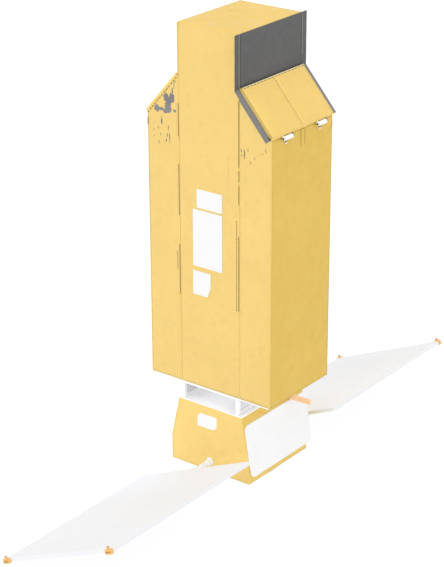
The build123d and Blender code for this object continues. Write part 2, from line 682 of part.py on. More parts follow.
for row, across in ROWS:
    with BuildPart() as panel:
        with BuildSketch(wing_plane.offset(CELL_LAYER - WING_THICKNESS / 2)):
            with Locations((0, across * wing_middle)):
                Rectangle(WING_CHORD, wing_length)
        extrude(amount=WING_THICKNESS - CELL_LAYER)
        fillet(outer_edges(panel, wing_up), PANEL_EDGE)
    write(panel, row + "_wing_panel")

    with BuildPart() as cells:
        with BuildSketch(wing_plane.offset(-WING_THICKNESS / 2)):
            with Locations((0, across * wing_middle)):
                Rectangle(WING_CHORD - 2 * CELL_MARGIN, wing_length - 2 * CELL_MARGIN)
        extrude(amount=CELL_LAYER)
    write(cells, row + "_wing_cells")

    with BuildPart() as yoke:
        with BuildSketch(at_depth(across * (HALF_DEPTH + DRIVE_LENGTH - WING_SHAFT_SOCKET))):
            with Locations((0, WING_AXIS_HEIGHT)):
                Circle(WING_SHAFT_RADIUS)
        extrude(amount=-across * (WING_SHAFT_SOCKET + YOKE_GAP + YOKE_SHAFT_SEAT))
        with BuildSketch(at_depth(across * (HALF_DEPTH + DRIVE_LENGTH + YOKE_GAP))):
            with Locations((0, WING_AXIS_HEIGHT)):
                Circle(YOKE_HUB_RADIUS)
        extrude(amount=-across * (YOKE_START - HALF_DEPTH - DRIVE_LENGTH))
        with BuildSketch(wing_plane.offset(-YOKE_THICKNESS / 2)):
            opening_start = YOKE_START + YOKE_ARM
            opening_end = WING_INNER - YOKE_END
            narrow = YOKE_NARROW + (opening_start - YOKE_START) * arm_slope - 2 * YOKE_ARM
            wide = YOKE_NARROW + (opening_end - YOKE_START) * arm_slope - 2 * YOKE_ARM
            Polygon(
                (-YOKE_NARROW / 2, across * YOKE_START),
                (YOKE_NARROW / 2, across * YOKE_START),
                (YOKE_WIDE / 2, across * WING_INNER),
                (-YOKE_WIDE / 2, across * WING_INNER),
                align=None,
            )
            Polygon(
                (-narrow / 2, across * opening_start),
                (narrow / 2, across * opening_start),
                (wide / 2, across * opening_end),
                (-wide / 2, across * opening_end),
                align=None,
                mode=Mode.SUBTRACT,
            )
        extrude(amount=YOKE_THICKNESS)
    write(yoke, row + "_wing_yoke")

    with BuildPart() as drive:
        with BuildSketch(Plane.YZ):
            Polygon(*[(across * y, WING_AXIS_HEIGHT + z) for y, z in drive_profile], align=None)
        revolve(axis=Axis((0, 0, WING_AXIS_HEIGHT), (0, 1, 0)))
        with BuildSketch(at_depth(across * (HALF_DEPTH + DRIVE_LENGTH - WING_SHAFT_SOCKET - YOKE_GAP))):
            with Locations((0, WING_AXIS_HEIGHT)):
                Circle(WING_SHAFT_RADIUS + SHAFT_CLEARANCE)
        extrude(amount=-across * DRIVE_LENGTH, mode=Mode.SUBTRACT)
    write(drive, row + "_wing_drive")

    body_middle = across * (WING_OUTER + SENSOR_SIZE[1] / 2)
    eye_depth = across * (WING_OUTER + SENSOR_SIZE[1])
    eye_plane = Plane(origin=(0, eye_depth, WING_AXIS_HEIGHT), x_dir=chord_way, z_dir=(0, across, 0))
    with BuildPart() as sensors:
        for end in (-1, 1):
            corner = end * (WING_CHORD / 2 - SENSOR_INSET)
            with BuildSketch(eye_plane):
                with Locations((corner, 0)):
                    RectangleRounded(SENSOR_SIZE[0], SENSOR_SIZE[2], SENSOR_CORNER)
            extrude(amount=-SENSOR_SIZE[1])
            with BuildSketch(eye_plane):
                with Locations((corner, 0)):
                    with GridLocations(SENSOR_EYE_SPACING, 0, 2, 1):
                        Circle(SENSOR_EYE_RADIUS)
            extrude(amount=SENSOR_EYE_LENGTH)
            with BuildSketch(wing_plane.offset(SENSOR_SIZE[2] / 2)):
                with Locations((corner, body_middle)):
                    Circle(SENSOR_HEAD_RADIUS)
            extrude(amount=SENSOR_HEAD_LENGTH, taper=-SENSOR_HEAD_FLARE)
            with BuildSketch(wing_plane.offset(SENSOR_SIZE[2] / 2 + SENSOR_HEAD_LENGTH - SENSOR_BORE_DEPTH)):
                with Locations((corner, body_middle)):
                    Circle(SENSOR_HEAD_BORE)
            extrude(amount=SENSOR_BORE_DEPTH, taper=-SENSOR_HEAD_FLARE, mode=Mode.SUBTRACT)
    write(sensors, row + "_wing_sensors")
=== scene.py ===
import bmesh
import bpy
import math
from mathutils import Matrix, Vector


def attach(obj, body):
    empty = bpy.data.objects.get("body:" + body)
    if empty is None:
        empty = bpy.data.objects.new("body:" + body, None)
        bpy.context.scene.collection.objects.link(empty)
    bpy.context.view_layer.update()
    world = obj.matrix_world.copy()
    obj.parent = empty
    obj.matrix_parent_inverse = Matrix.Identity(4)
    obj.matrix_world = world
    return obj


# Looks of a box-shaped space telescope: foil blankets, white plates, dark shade, solar wings.
# Metres, in the frame of the solids: X along the wide front, -Y out of it, Z up.

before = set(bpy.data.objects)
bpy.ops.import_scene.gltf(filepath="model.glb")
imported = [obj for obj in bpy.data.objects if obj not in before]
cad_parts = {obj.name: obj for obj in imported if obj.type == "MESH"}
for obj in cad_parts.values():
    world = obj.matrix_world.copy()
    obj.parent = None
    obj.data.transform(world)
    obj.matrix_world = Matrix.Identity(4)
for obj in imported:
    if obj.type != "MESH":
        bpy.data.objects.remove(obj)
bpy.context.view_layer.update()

# Sizes shared with the solids
HALF_DEPTH, HALF_TOWER, HALF_BODY = 0.600, 0.445, 0.900
WALL, HALF_DIVIDER = 0.025, 0.025
BUS_BOTTOM, BUS_KINK, BUS_TOP = 0.100, 0.442, 0.970
BUS_HALF, BUS_TOP_HALF = 0.600, 0.480
DECK_TOP, BASE_PLATE_LOW, BODY_BOTTOM = 0.982, 1.208, 1.222
SHOULDER, TOWER_TOP = 4.564, 5.724
SLANT = Vector((0.524, 0, 0.455)).normalized()
WALL_RISE = 0.009
DOOR_INNER, DOOR_OUTER = 0.015, 0.039
DOOR_START, DOOR_END = 0.003, 0.688
DOOR_LOW, DOOR_HIGH = 0.006, 0.594
SHADE_FACE, RAIL_STOP, RAIL_ROOT, RAIL_MIDDLE = 0.451, 0.014, 0.614, 0.660
SEAM_IN, SEAM_DEPTH = 0.435, 0.014
HINGE_X, HINGE_Z = 0.934, 4.552
MOTOR_Y, MOTOR_HALF, SHAFT_RADIUS, LUG_FACE, IDLE_EYE = 0.335, 0.075, 0.008, 0.093, 0.048
STRIP_HALF, STRIP_LOW, STRIP_HIGH, STRIP_FACE = 0.038, 4.372, 4.560, 0.906
WING_AXIS_Z, WING_CANT = 0.236, math.radians(23.84)
WING_CHORD, WING_INNER, WING_OUTER, WING_HALF_THICK = 1.779, 0.891, 3.402, 0.025
SENSOR_INSET, SENSOR_DEPTH, EYE_REACH, EYE_SPREAD = 0.030, 0.034, 0.012, 0.022
RADIATOR_TOP, RADIATOR_FOOT, RADIATOR_CUT = (0.553, 0.887), (0.663, 0.222), 0.045
RADIATOR_LENGTHS = {"left": 0.960, "right": 1.256}
FRONT_PLATE, HATCH_FACE = 0.010, 0.008
# Plates on the front: low and high x, low and high z
PLATES = ((-0.173, 0.198, 3.538, 3.770), (-0.232, 0.197, 2.795, 3.512), (-0.236, 0.026, 2.429, 2.734))
SIDES = (("left", -1), ("right", 1))
ROWS = (("front", -1), ("back", 1))
DOORS = [("door_" + side + "_" + row, side, hand, across) for side, hand in SIDES for row, across in ROWS]


def slant_z(x, offset):
    """Height at width x of the plane that lies offset outside the slanted face."""
    return SHOULDER + (offset - (x - HALF_BODY) * SLANT.x) / SLANT.z


def slope_point(hand, along, y, offset):
    """A point on one side, from its distance up the slope and outside it."""
    return Vector((hand * (HALF_BODY - along * SLANT.z + offset * SLANT.x), y,
                   SHOULDER + along * SLANT.x + offset * SLANT.z))


def out_of_slope(hand):
    return Vector((hand * SLANT.x, 0, SLANT.z))


# Node trees

def add_node(tree, kind, inputs=None, **settings):
    """One node, with its settings and with each named input set or linked."""
    node = tree.nodes.new(kind)
    for key, value in settings.items():
        setattr(node, key, value)
    for key, value in (inputs or {}).items():
        if isinstance(value, bpy.types.NodeSocket):
            tree.links.new(value, node.inputs[key])
        else:
            node.inputs[key].default_value = value
    return node


def result(tree, kind, inputs=None, output=0, **settings):
    """The first output of a new node, or another that is named."""
    return add_node(tree, kind, inputs, **settings).outputs[output]


class Finish:
    """A shader for one finish, and the nodes that feed it from the object's own coordinates."""

    def __init__(self, name, slot, colour, roughness, metallic=0.0, specular=0.5, **sockets):
        self.slot = slot
        self.material = bpy.data.materials.new(name)
        self.material.use_nodes = True
        self.tree = self.material.node_tree
        self.shader = self.tree.nodes["Principled BSDF"]
        self.colour = (*colour, 1.0)
        sockets |= {"Base Color": self.colour, "Roughness": roughness, "Metallic": metallic,
                    "Specular IOR Level": specular}
        for key, value in sockets.items():
            self.shader.inputs[key.replace("_", " ")].default_value = value
        self.place = self.node("ShaderNodeTexCoord", output="Object")
        self.parts = add_node(self.tree, "ShaderNodeSeparateXYZ", {0: self.place})
        self.paint = None

    def node(self, kind, inputs=None, output=0, **settings):
        return result(self.tree, kind, inputs, output, **settings)

    # Sums
    def math(self, operation, *values):
        """One operation, carried on from each value to the next."""
        total = values[0]
        for value in values[1:] or (0.0,):
            total = self.node("ShaderNodeMath", {0: total, 1: value}, operation=operation)
        return total

    def plus(self, *values):
        return self.math("ADD", *values)

    def minus(self, first, second):
        return self.math("SUBTRACT", first, second)

    def times(self, *values):
        """A product, or the overlap of several masks."""
        return self.math("MULTIPLY", *values)

    def size(self, value):
        return self.math("ABSOLUTE", value)

    def square(self, value):
        return self.math("POWER", value, 2.0)

    def reach(self, first, second):
        """Length of the slanting side over two distances square to each other."""
        return self.math("SQRT", self.plus(self.square(first), self.square(second)))

    def ramp(self, value, low, high, to_low=0.0, to_high=1.0):
        inputs = {"Value": value, "From Min": low, "From Max": high, "To Min": to_low, "To Max": to_high}
        return self.node("ShaderNodeMapRange", inputs, interpolation_type="SMOOTHSTEP")

    def below(self, value, limit, soft=0.0010):
        """1 where the value is under the limit, 0 over it."""
        return self.ramp(value, limit - soft / 2, limit + soft / 2, 1.0, 0.0)

    def above(self, value, limit, soft=0.0010):
        return self.ramp(value, limit - soft / 2, limit + soft / 2)

    # Places
    def along(self, axis):
        return self.parts.outputs[axis]

    def width(self, axis):
        """Distance from the middle plane."""
        return self.size(self.along(axis))

    def dot(self, direction):
        return self.node("ShaderNodeVectorMath", {0: self.place, 1: direction}, "Value",
                         operation="DOT_PRODUCT")

    def scaled(self, scale):
        return self.node("ShaderNodeMapping", {"Vector": self.place, "Scale": scale})

    def warped(self, scale, amount):
        """The place, pushed about by a soft noise."""
        noise = self.noise(scale, 2.0, output="Color")
        centred = self.node("ShaderNodeVectorMath", {0: noise, 1: (0.5,) * 3}, operation="SUBTRACT")
        return self.node("ShaderNodeVectorMath", {0: centred, 1: (amount,) * 3, 2: self.place},
                         operation="MULTIPLY_ADD")

    def from_hinge(self):
        """Distance from the nearest door hinge line."""
        return self.reach(self.minus(self.width("X"), HINGE_X), self.minus(self.along("Z"), HINGE_Z))

    # Patterns
    def noise(self, scale, detail=3.0, vector=None, output=0):
        inputs = {"Vector": vector or self.place, "Scale": scale, "Detail": detail}
        return self.node("ShaderNodeTexNoise", inputs, output)

    def clouds(self, scale, detail, low, high, to_low=0.0, to_high=1.0, vector=None):
        """Noise of a scale and detail, spread from one range over another."""
        return self.ramp(self.noise(scale, detail, vector), low, high, to_low, to_high)

    def fold(self, scale, vector=None):
        """Sharp folds where a soft noise passes its middle: the creases of crumpled film."""
        return self.math("SQRT", self.size(self.minus(self.noise(scale, 1.0, vector), 0.5)))

    def cells(self, scale, vector, feature="F1"):
        return self.node("ShaderNodeTexVoronoi", {"Vector": vector, "Scale": scale}, "Distance",
                         feature=feature)

    def lines(self, value, pitch, width):
        """1 on thin lines at every pitch along a coordinate, 0 between them."""
        return self.ramp(self.math("PINGPONG", value, pitch / 2), width / 2, width, 1.0, 0.0)

    # What reaches the shader
    def tint(self, colour, factor):
        """Lay a second colour over the paint by a factor."""
        mix = add_node(self.tree, "ShaderNodeMix", {0: factor, 7: (*colour, 1.0)}, data_type="RGBA")
        if self.paint is None:
            mix.inputs[6].default_value = self.colour
        else:
            self.tree.links.new(self.paint, mix.inputs[6])
        self.paint = mix.outputs[2]
        self.tree.links.new(self.paint, self.shader.inputs["Base Color"])

    def shade(self, share, factor, more=0.0):
        """Lay a lighter or darker share of the finish's own colour over the paint."""
        self.tint([min(1.0, share * part + more) for part in self.colour[:3]], factor)

    def rough(self, value):
        self.tree.links.new(value, self.shader.inputs["Roughness"])

    def bump(self, height, strength, distance):
        inputs = {"Height": height, "Strength": strength, "Distance": distance}
        if self.shader.inputs["Normal"].is_linked:
            inputs["Normal"] = self.shader.inputs["Normal"].links[0].from_socket
        self.tree.links.new(self.node("ShaderNodeBump", inputs), self.shader.inputs["Normal"])


# Finishes

# One gold film in lit and shaded copies, as painted light and shade: the top, the bus and the doors are
# painted lighter, the sides of the box and the bus painted darker than the front
GOLD_FRONT = (0.815, 0.584, 0.192)
GOLD_TOP_PAINTED_LIGHT = (0.856, 0.592, 0.140)
GOLD_SIDE_PAINTED_SHADE = (0.702, 0.475, 0.088)
GOLD_BUS_PAINTED_LIGHT = (0.900, 0.640, 0.205)
GOLD_BUS_SIDE_PAINTED_SHADE = (0.790, 0.550, 0.135)
GOLD_DOOR_PAINTED_LIGHT = (0.870, 0.612, 0.180)
FOIL_METALLIC = 0.45
BLACK = (0.020, 0.020, 0.022)
SEAM_BROWN = (0.030, 0.020, 0.008)
# The rails' grey down the slope is painted light: the same dark film, painted lighter where it faces up
SHADE_DARK, RAIL_SLOPE_PAINTED_LIGHT = (0.0985, 0.0985, 0.0990), (0.205, 0.205, 0.207)
SHAFT_DARK, LUG_DARK = (0.060, 0.060, 0.062), (0.060, 0.060, 0.064)
AMBER_GLASS = (0.150, 0.075, 0.035)
# How far a finish's border stands off the edge that it follows
EDGE = 0.001


def foil_finish(name, colour=GOLD_FRONT, crease=1.0, metallic=FOIL_METALLIC):
    """Gold film over a soft blanket: broad soft folds, sharp little creases and a mottled sheen."""
    foil = Finish(name, "gold_foil", colour, 0.40, metallic=metallic, specular=0.4)
    pushed = foil.warped(2.5, 0.10)
    foil.shade(1.05, foil.clouds(1.6, 3.0, 0.35, 0.75, 0.0, 0.6), 0.010)
    foil.shade(0.93, foil.clouds(11.0, 4.0, 0.50, 0.75, 0.0, 0.5))
    foil.rough(foil.clouds(7.0, 4.0, 0.3, 0.7, 0.34, 0.50))
    height = foil.plus(foil.cells(5.0, pushed), foil.times(foil.fold(4.5, pushed), 0.55),
                       foil.times(foil.fold(13.0, pushed), 0.22), foil.times(foil.fold(38.0), 0.08))
    foil.bump(height, 0.20 * crease, 0.012)
    foil.bump(foil.noise(170.0, 2.0), 0.05, 0.001)
    return foil


# Worn spots on the front of the baffle boxes: centre x, centre z, half width, half height
WORN_SPOTS = (
    (-0.615, 4.800, 0.040, 0.050), (-0.530, 4.805, 0.040, 0.055), (-0.570, 4.775, 0.080, 0.035),
    (-0.585, 4.720, 0.045, 0.035), (-0.585, 4.665, 0.055, 0.055), (-0.630, 4.625, 0.030, 0.025),
    (-0.755, 4.645, 0.040, 0.045), (-0.700, 4.645, 0.050, 0.020), (-0.655, 4.645, 0.040, 0.015),
    (-0.485, 4.655, 0.030, 0.015), (-0.520, 4.890, 0.010, 0.035), (-0.625, 4.855, 0.016, 0.025),
    (-0.475, 5.035, 0.006, 0.045), (-0.495, 4.965, 0.006, 0.050),
)
# Thin vertical streaks, in the same order
WORN_STREAKS = (
    (-0.685, 4.510, 0.011, 0.055), (-0.585, 4.420, 0.006, 0.050), (-0.570, 4.310, 0.007, 0.070),
    (-0.605, 4.345, 0.008, 0.030), (-0.620, 4.275, 0.008, 0.020), (-0.730, 4.230, 0.006, 0.025),
    (-0.705, 4.335, 0.006, 0.020), (-0.800, 4.445, 0.005, 0.010), (-0.805, 4.370, 0.005, 0.015),
    (-0.800, 4.300, 0.005, 0.010), (-0.735, 4.410, 0.005, 0.015), (0.520, 4.335, 0.008, 0.065),
    (0.475, 4.370, 0.008, 0.025), (0.480, 4.315, 0.006, 0.015), (0.570, 4.395, 0.005, 0.020),
    (0.665, 4.315, 0.005, 0.020), (0.605, 4.250, 0.005, 0.020), (0.810, 4.450, 0.007, 0.020),
    (0.775, 4.390, 0.005, 0.010), (0.825, 4.425, 0.005, 0.010),
)
WORN_GREY, WORN_DARK = (0.252, 0.240, 0.242), (0.150, 0.125, 0.100)
WORN_DEEP_GREY, WORN_DEEP_LEVEL = (0.212, 0.202, 0.206), 4.700


def ovals(foil, table, parts, soft):
    """1 inside the ovals of a table, 0 outside them."""
    inside = []
    for x, z, half_width, half_height in table:
        across = foil.times(foil.minus(parts.outputs["X"], x), 1 / half_width)
        up = foil.times(foil.minus(parts.outputs["Z"], z), 1 / half_height)
        inside.append(foil.ramp(foil.plus(foil.square(across), foil.square(up)), soft, 1.15, 1.0, 0.0))
    return foil.math("MAXIMUM", *inside)


def worn_foil_finish():
    """Gold film whose coating has rubbed through to the grey layer under it, in a few spots and streaks."""
    foil = foil_finish("worn_gold_film")
    front = foil.below(foil.along("Y"), -HALF_DEPTH + 0.010)
    ragged = add_node(foil.tree, "ShaderNodeSeparateXYZ", {0: foil.warped(24.0, 0.034)})
    spots = foil.times(ovals(foil, WORN_SPOTS, ragged, 0.80), front)
    foil.tint(WORN_GREY, spots)
    deep = foil.ramp(ragged.outputs["Z"], WORN_DEEP_LEVEL, WORN_DEEP_LEVEL + 0.03)
    foil.tint(WORN_DEEP_GREY, foil.times(spots, deep))
    grain = foil.clouds(55.0, 3.0, 0.34, 0.50, vector=foil.scaled((1.0, 1.0, 0.25)))
    foil.tint(WORN_DARK, foil.times(ovals(foil, WORN_STREAKS, foil.parts, 0.60), grain, front))
    return foil


def blacken(foil, inner):
    """Black paint on the part of a foil-covered piece that a mask covers."""
    foil.tint(BLACK, inner)
    bare = foil.times(foil.minus(1.0, inner), FOIL_METALLIC)
    foil.tree.links.new(bare, foil.shader.inputs["Metallic"])
    return foil


def wall_finish(name, colour, axis, face):
    """A wall of the baffle boxes: foil outside, black inside."""
    foil = foil_finish(name, colour)
    return blacken(foil, foil.below(foil.width(axis), face - WALL + EDGE))


def tower_finish():
    """The tower: foil outside, black where its sides stand in the bays, brown in the corner seams."""
    foil = foil_finish("tower_foil")
    lower = foil.below(foil.along("Z"), slant_z(HALF_TOWER, WALL_RISE) - EDGE)
    bay = foil.times(lower, foil.above(foil.width("X"), HALF_TOWER - EDGE),
                     foil.below(foil.width("Y"), HALF_DEPTH - WALL))
    groove = foil.times(lower, foil.above(foil.width("X"), SEAM_IN - EDGE),
                        foil.below(foil.width("Y"), HALF_DEPTH - EDGE),
                        foil.above(foil.width("Y"), HALF_DEPTH - SEAM_DEPTH - EDGE))
    blacken(foil, bay)
    foil.tint(SEAM_BROWN, groove)
    return foil


def door_finish(side, hand):
    """Gold film outside and on the edges of the doors, black paint on their ribbed inner side."""
    foil = foil_finish(side + "_door_foil", GOLD_DOOR_PAINTED_LIGHT)
    depth = foil.dot((hand * SLANT.x, 0.0, SLANT.z))
    along = foil.dot((-hand * SLANT.z, 0.0, SLANT.x))
    level = HALF_BODY * SLANT.x + SHOULDER * SLANT.z
    start = -HALF_BODY * SLANT.z + SHOULDER * SLANT.x
    reach = foil.math("PINGPONG", foil.width("Y"), HALF_DEPTH / 2)
    inner = foil.times(foil.below(depth, level + DOOR_INNER + 0.013),
                       foil.above(reach, DOOR_LOW + 2 * EDGE),
                       foil.above(along, start + DOOR_START + 1.5 * EDGE),
                       foil.below(along, start + DOOR_END - 1.5 * EDGE))
    return blacken(foil, inner)


def white_finish(name, colour):
    """Matte thermal paint with a fine sprayed grain and faint handling marks."""
    paint = Finish(name, "white_paint", colour, 0.62, specular=0.35)
    paint.shade(0.95, paint.clouds(5.0, 4.0, 0.45, 0.75, 0.0, 0.5))
    paint.shade(0.80, paint.clouds(38.0, 4.0, 0.70, 0.80, 0.0, 0.25))
    paint.rough(paint.clouds(20.0, 3.0, 0.3, 0.7, 0.55, 0.70))
    paint.bump(paint.noise(220.0), 0.12, 0.0008)
    return paint


def tiled_white_finish(name, colour, across, pitch, gap=0.0014):
    """White radiator face laid in small tiles with hairline joints."""
    paint = white_finish(name, colour)
    joint = paint.math("MAXIMUM", paint.lines(paint.along(across), pitch, gap),
                       paint.lines(paint.along("Z"), pitch, gap))
    paint.tint((0.70, 0.70, 0.71), paint.times(joint, 0.40))
    paint.bump(paint.minus(1.0, joint), 0.25, 0.0006)
    return paint


def panel_finish(name, colour, root, root_light_end):
    """Pale composite of the wings, its honeycomb just showing, with painted light near the root on the white
    side, where the body shades the wing.
    """
    panel = Finish(name, "white_panel", colour, 0.55, specular=0.35)
    comb = panel.cells(80.0, panel.place, "DISTANCE_TO_EDGE")
    panel.shade(0.98, panel.clouds(1.1, 4.0, 0.4, 0.7, 0.0, 0.7))
    panel.shade(1.04, panel.clouds(30.0, 3.0, 0.62, 0.8, 0.0, 0.35))
    white_side = panel.above(panel.dot((-math.sin(WING_CANT), 0.0, math.cos(WING_CANT))),
                             WING_AXIS_Z * math.cos(WING_CANT) + WING_HALF_THICK - EDGE)
    root_painted_light = panel.ramp(panel.width("Y"), WING_INNER, root_light_end, 1.0, 0.0)
    panel.tint(root, panel.times(white_side, root_painted_light))
    panel.rough(panel.clouds(12.0, 3.0, 0.3, 0.7, 0.48, 0.62))
    panel.bump(panel.ramp(comb, 0.0, 0.12), 0.10, 0.0006)
    return panel


def dark_film_finish(name, colour):
    """Dull film: fine wrinkles and a low sheen."""
    film = Finish(name, "black_film", colour, 0.55, specular=0.30)
    pushed = film.warped(4.0, 0.08)
    film.shade(1.20, film.clouds(2.5, 4.0, 0.4, 0.75, 0.0, 0.4))
    film.rough(film.clouds(9.0, 3.0, 0.3, 0.7, 0.48, 0.64))
    film.bump(film.plus(film.cells(8.0, pushed), film.times(film.fold(9.0, pushed), 0.4)), 0.16, 0.006)
    film.bump(film.noise(120.0, 2.0), 0.06, 0.001)
    return film


def rail_finish():
    """Rails of the shade: dark film up the tower, painted lighter grey down the slope, as painted light where
    the rails face up.
    """
    film = dark_film_finish("rail_film", SHADE_DARK)
    film.tint(RAIL_SLOPE_PAINTED_LIGHT, film.below(film.along("Z"), slant_z(HALF_TOWER, 0) - 0.002, 0.004))
    return film


def copper_finish(name, colour, pitch=0.045):
    """Copper-coloured film wound on in overlapping turns."""
    film = Finish(name, "copper_film", colour, 0.42, metallic=0.35, specular=0.4)
    turns = film.lines(film.plus(film.along("X"), film.times(film.along("Z"), 0.5)), pitch, 0.003)
    film.shade(0.80, film.times(turns, 0.6))
    film.shade(1.10, film.clouds(14.0, 3.0, 0.45, 0.75, 0.0, 0.6))
    film.bump(film.cells(45.0, film.warped(20.0, 0.02)), 0.25, 0.002)
    return film


def sensor_finish():
    """Amber film on the wing sensors, with dark glass in their eyes and bores."""
    film = copper_finish("sensor_film", (0.840, 0.520, 0.195), 0.060)
    cos, sin = math.cos(WING_CANT), math.sin(WING_CANT)
    chord = film.minus(film.dot((cos, 0.0, sin)), WING_AXIS_Z * sin)
    up = film.minus(film.dot((-sin, 0.0, cos)), WING_AXIS_Z * cos)
    corner = film.minus(film.size(chord), WING_CHORD / 2 - SENSOR_INSET)
    eye = film.minus(film.size(corner), EYE_SPREAD)
    depth = film.width("Y")
    middle = film.minus(depth, WING_OUTER + SENSOR_DEPTH / 2)
    glass = film.times(film.above(depth, WING_OUTER + SENSOR_DEPTH + EYE_REACH - 0.0005, 0.0004),
                       film.below(film.reach(eye, up), 0.0105))
    dark = film.times(film.above(up, 0.0385), film.below(film.reach(corner, middle), 0.0150, 0.0004))
    film.tint(AMBER_GLASS, film.math("MAXIMUM", glass, dark))
    film.rough(film.ramp(glass, 0.0, 1.0, 0.42, 0.06))
    return film


def metal_finish(name, colour, roughness):
    """Machined metal with fine tool marks."""
    metal = Finish(name, "bare_aluminium", colour, roughness, metallic=1.0)
    marks = metal.noise(60.0, 4.0, metal.scaled((1.0, 1.0, 14.0)))
    metal.shade(0.82, metal.clouds(9.0, 4.0, 0.45, 0.8, 0.0, 0.6))
    metal.rough(metal.ramp(marks, 0.3, 0.7, roughness - 0.08, roughness + 0.10))
    metal.bump(marks, 0.08, 0.0005)
    return metal


def motor_finish():
    """White motor bodies with a dark steel shaft through them."""
    paint = white_finish("motor_paint", (0.900, 0.900, 0.905))
    paint.tint(SHAFT_DARK, paint.below(paint.from_hinge(), SHAFT_RADIUS + 0.0006, 0.0002))
    return paint


def lug_finish(row, across):
    """Pale metal lugs; the one of each pair that only idles on the shaft is black round its eye."""
    lug = metal_finish(row + "_lug_metal", (0.930,) * 3, 0.60)
    idle = lug.above(lug.along("Y"), across * MOTOR_Y)
    lug.tint(LUG_DARK, lug.times(idle, lug.below(lug.from_hinge(), IDLE_EYE)))
    return lug


def black_paint_finish():
    """Deep matte black inside the baffles."""
    paint = Finish("baffle_black", "black_paint", BLACK, 0.88, specular=0.2)
    paint.tint((0.034, 0.033, 0.034), paint.clouds(6.0, 4.0, 0.45, 0.7))
    paint.bump(paint.noise(260.0), 0.20, 0.0010)
    return paint


def mirror_finish():
    """Silvered mirror with a trace of haze."""
    mirror = Finish("mirror_silver", "mirror_coating", (0.90, 0.91, 0.93), 0.04, metallic=1.0)
    mirror.rough(mirror.clouds(3.0, 3.0, 0.4, 0.8, 0.03, 0.09))
    mirror.tint((0.80, 0.83, 0.90), mirror.clouds(2.0, 2.0, 0.4, 0.8, 0.0, 0.5))
    return mirror


def cell_finish():
    """Blue-black solar cells with fine grid fingers, under a thin cover glass."""
    cell = Finish("solar_cell", "solar_cells", (0.012, 0.020, 0.075), 0.28, specular=0.6,
                  Coat_Weight=0.8, Coat_Roughness=0.06)
    cell.tint((0.030, 0.030, 0.130), cell.clouds(7.0, 3.0, 0.4, 0.7))
    cell.tint((0.35, 0.37, 0.42), cell.times(cell.lines(cell.along("Y"), 0.0040, 0.0005), 0.30))
    cell.rough(cell.clouds(40.0, 2.0, 0.3, 0.7, 0.24, 0.34))
    return cell


def substrate_finish():
    """Amber film between the cells."""
    film = Finish("cell_substrate", "solar_cells", (0.420, 0.200, 0.050), 0.45)
    film.tint((0.52, 0.27, 0.08), film.clouds(8.0, 3.0, 0.4, 0.7))
    film.bump(film.noise(90.0), 0.1, 0.0006)
    return film


gold_foil = foil_finish("smooth_gold_film")
gold_worn = worn_foil_finish()
# Lit and shaded copies of the gold film: painted light on the top, the bus and the doors, painted shade on
# the sides
gold_top = foil_finish("top_gold_painted_light", GOLD_TOP_PAINTED_LIGHT)
gold_side = foil_finish("side_gold_painted_shade", GOLD_SIDE_PAINTED_SHADE)
gold_bus = foil_finish("bus_gold_painted_light", GOLD_BUS_PAINTED_LIGHT)
bus_side = foil_finish("bus_side_gold_painted_shade", GOLD_BUS_SIDE_PAINTED_SHADE)
gold_tape = foil_finish("gold_tape", crease=0.5)
side_tape = foil_finish("side_tape", GOLD_SIDE_PAINTED_SHADE, crease=0.5)
door_tape = foil_finish("door_tape", GOLD_DOOR_PAINTED_LIGHT, crease=0.5)
pale_tape = foil_finish("pale_tape", (0.880, 0.780, 0.500), crease=0.5, metallic=0.20)
# The right doors' edge flaps are painted lighter than the door gold, as painted light against the shade
# beside the rails
edge_tape = {"left": door_tape, "right": foil_finish("door_tape_painted_light", (1.000, 0.770, 0.250), crease=0.5)}
white_paint = white_finish("white_coat", (0.850, 0.850, 0.852))
# The deck, frame and base plate white is painted lighter than the other white paint, as painted light in the
# shade under the telescope
white_painted_light = white_finish("white_frame_painted_light", (0.920, 0.920, 0.925))
drive_paint = white_finish("drive_paint", (0.840, 0.880, 0.960))
# The interface's side panels are white paint painted grey, as painted shade under the telescope's overhang
side_panel_painted_shade = white_finish("white_paint_painted_shade", (0.700, 0.695, 0.720))
hatch_paint = white_finish("hatch_paint", (0.885,) * 3)
front_tiles = tiled_white_finish("front_radiator_tiles", (0.835,) * 3, "X", 0.060)
side_tiles = tiled_white_finish("side_radiator_tiles", (0.860, 0.860, 0.862), "Y", 0.080)
# Lit and shaded copies of one composite: a cool tint cancels the gold light that the body bounces onto the
# wings, and painted light near the root lifts the body's shade, more on the back wing
wing_composite = {
    "front": panel_finish("front_wing_composite", (0.796, 0.803, 0.828), (0.820, 0.850, 0.925), 2.0),
    "back": panel_finish("back_wing_composite", (0.805, 0.812, 0.830), (0.920, 0.925, 0.960), 3.2)}
shade_film = dark_film_finish("shade_film", SHADE_DARK)
rail_film = rail_finish()
copper_film = copper_finish("copper_wrap", (0.930, 0.600, 0.330))
amber_film = sensor_finish()
thread = dark_film_finish("seam_thread", (0.110, 0.080, 0.030))
faint_thread = dark_film_finish("faint_seam_thread", (0.420, 0.310, 0.120))
black_tape = dark_film_finish("black_tape", (0.045,) * 3)
near_bead = dark_film_finish("dull_edge_bead", (0.300, 0.255, 0.150))
far_bead = dark_film_finish("pale_edge_bead", (0.300, 0.300, 0.280))
aluminium = metal_finish("machined_aluminium", (0.74, 0.75, 0.77), 0.34)
dark_metal = metal_finish("grey_anodised_metal", (0.300, 0.300, 0.310), 0.42)
ring_metal = metal_finish("bearing_ring_metal", (0.520, 0.520, 0.530), 0.45)
lug_metal = {row: lug_finish(row, across) for row, across in ROWS}
steel = metal_finish("fastener_steel", (0.66,) * 3, 0.30)
motor_paint = motor_finish()
baffle_black = black_paint_finish()
mirror_silver = mirror_finish()
solar_cell = cell_finish()
cell_substrate = substrate_finish()
door_foil = {side: door_finish(side, hand) for side, hand in SIDES}

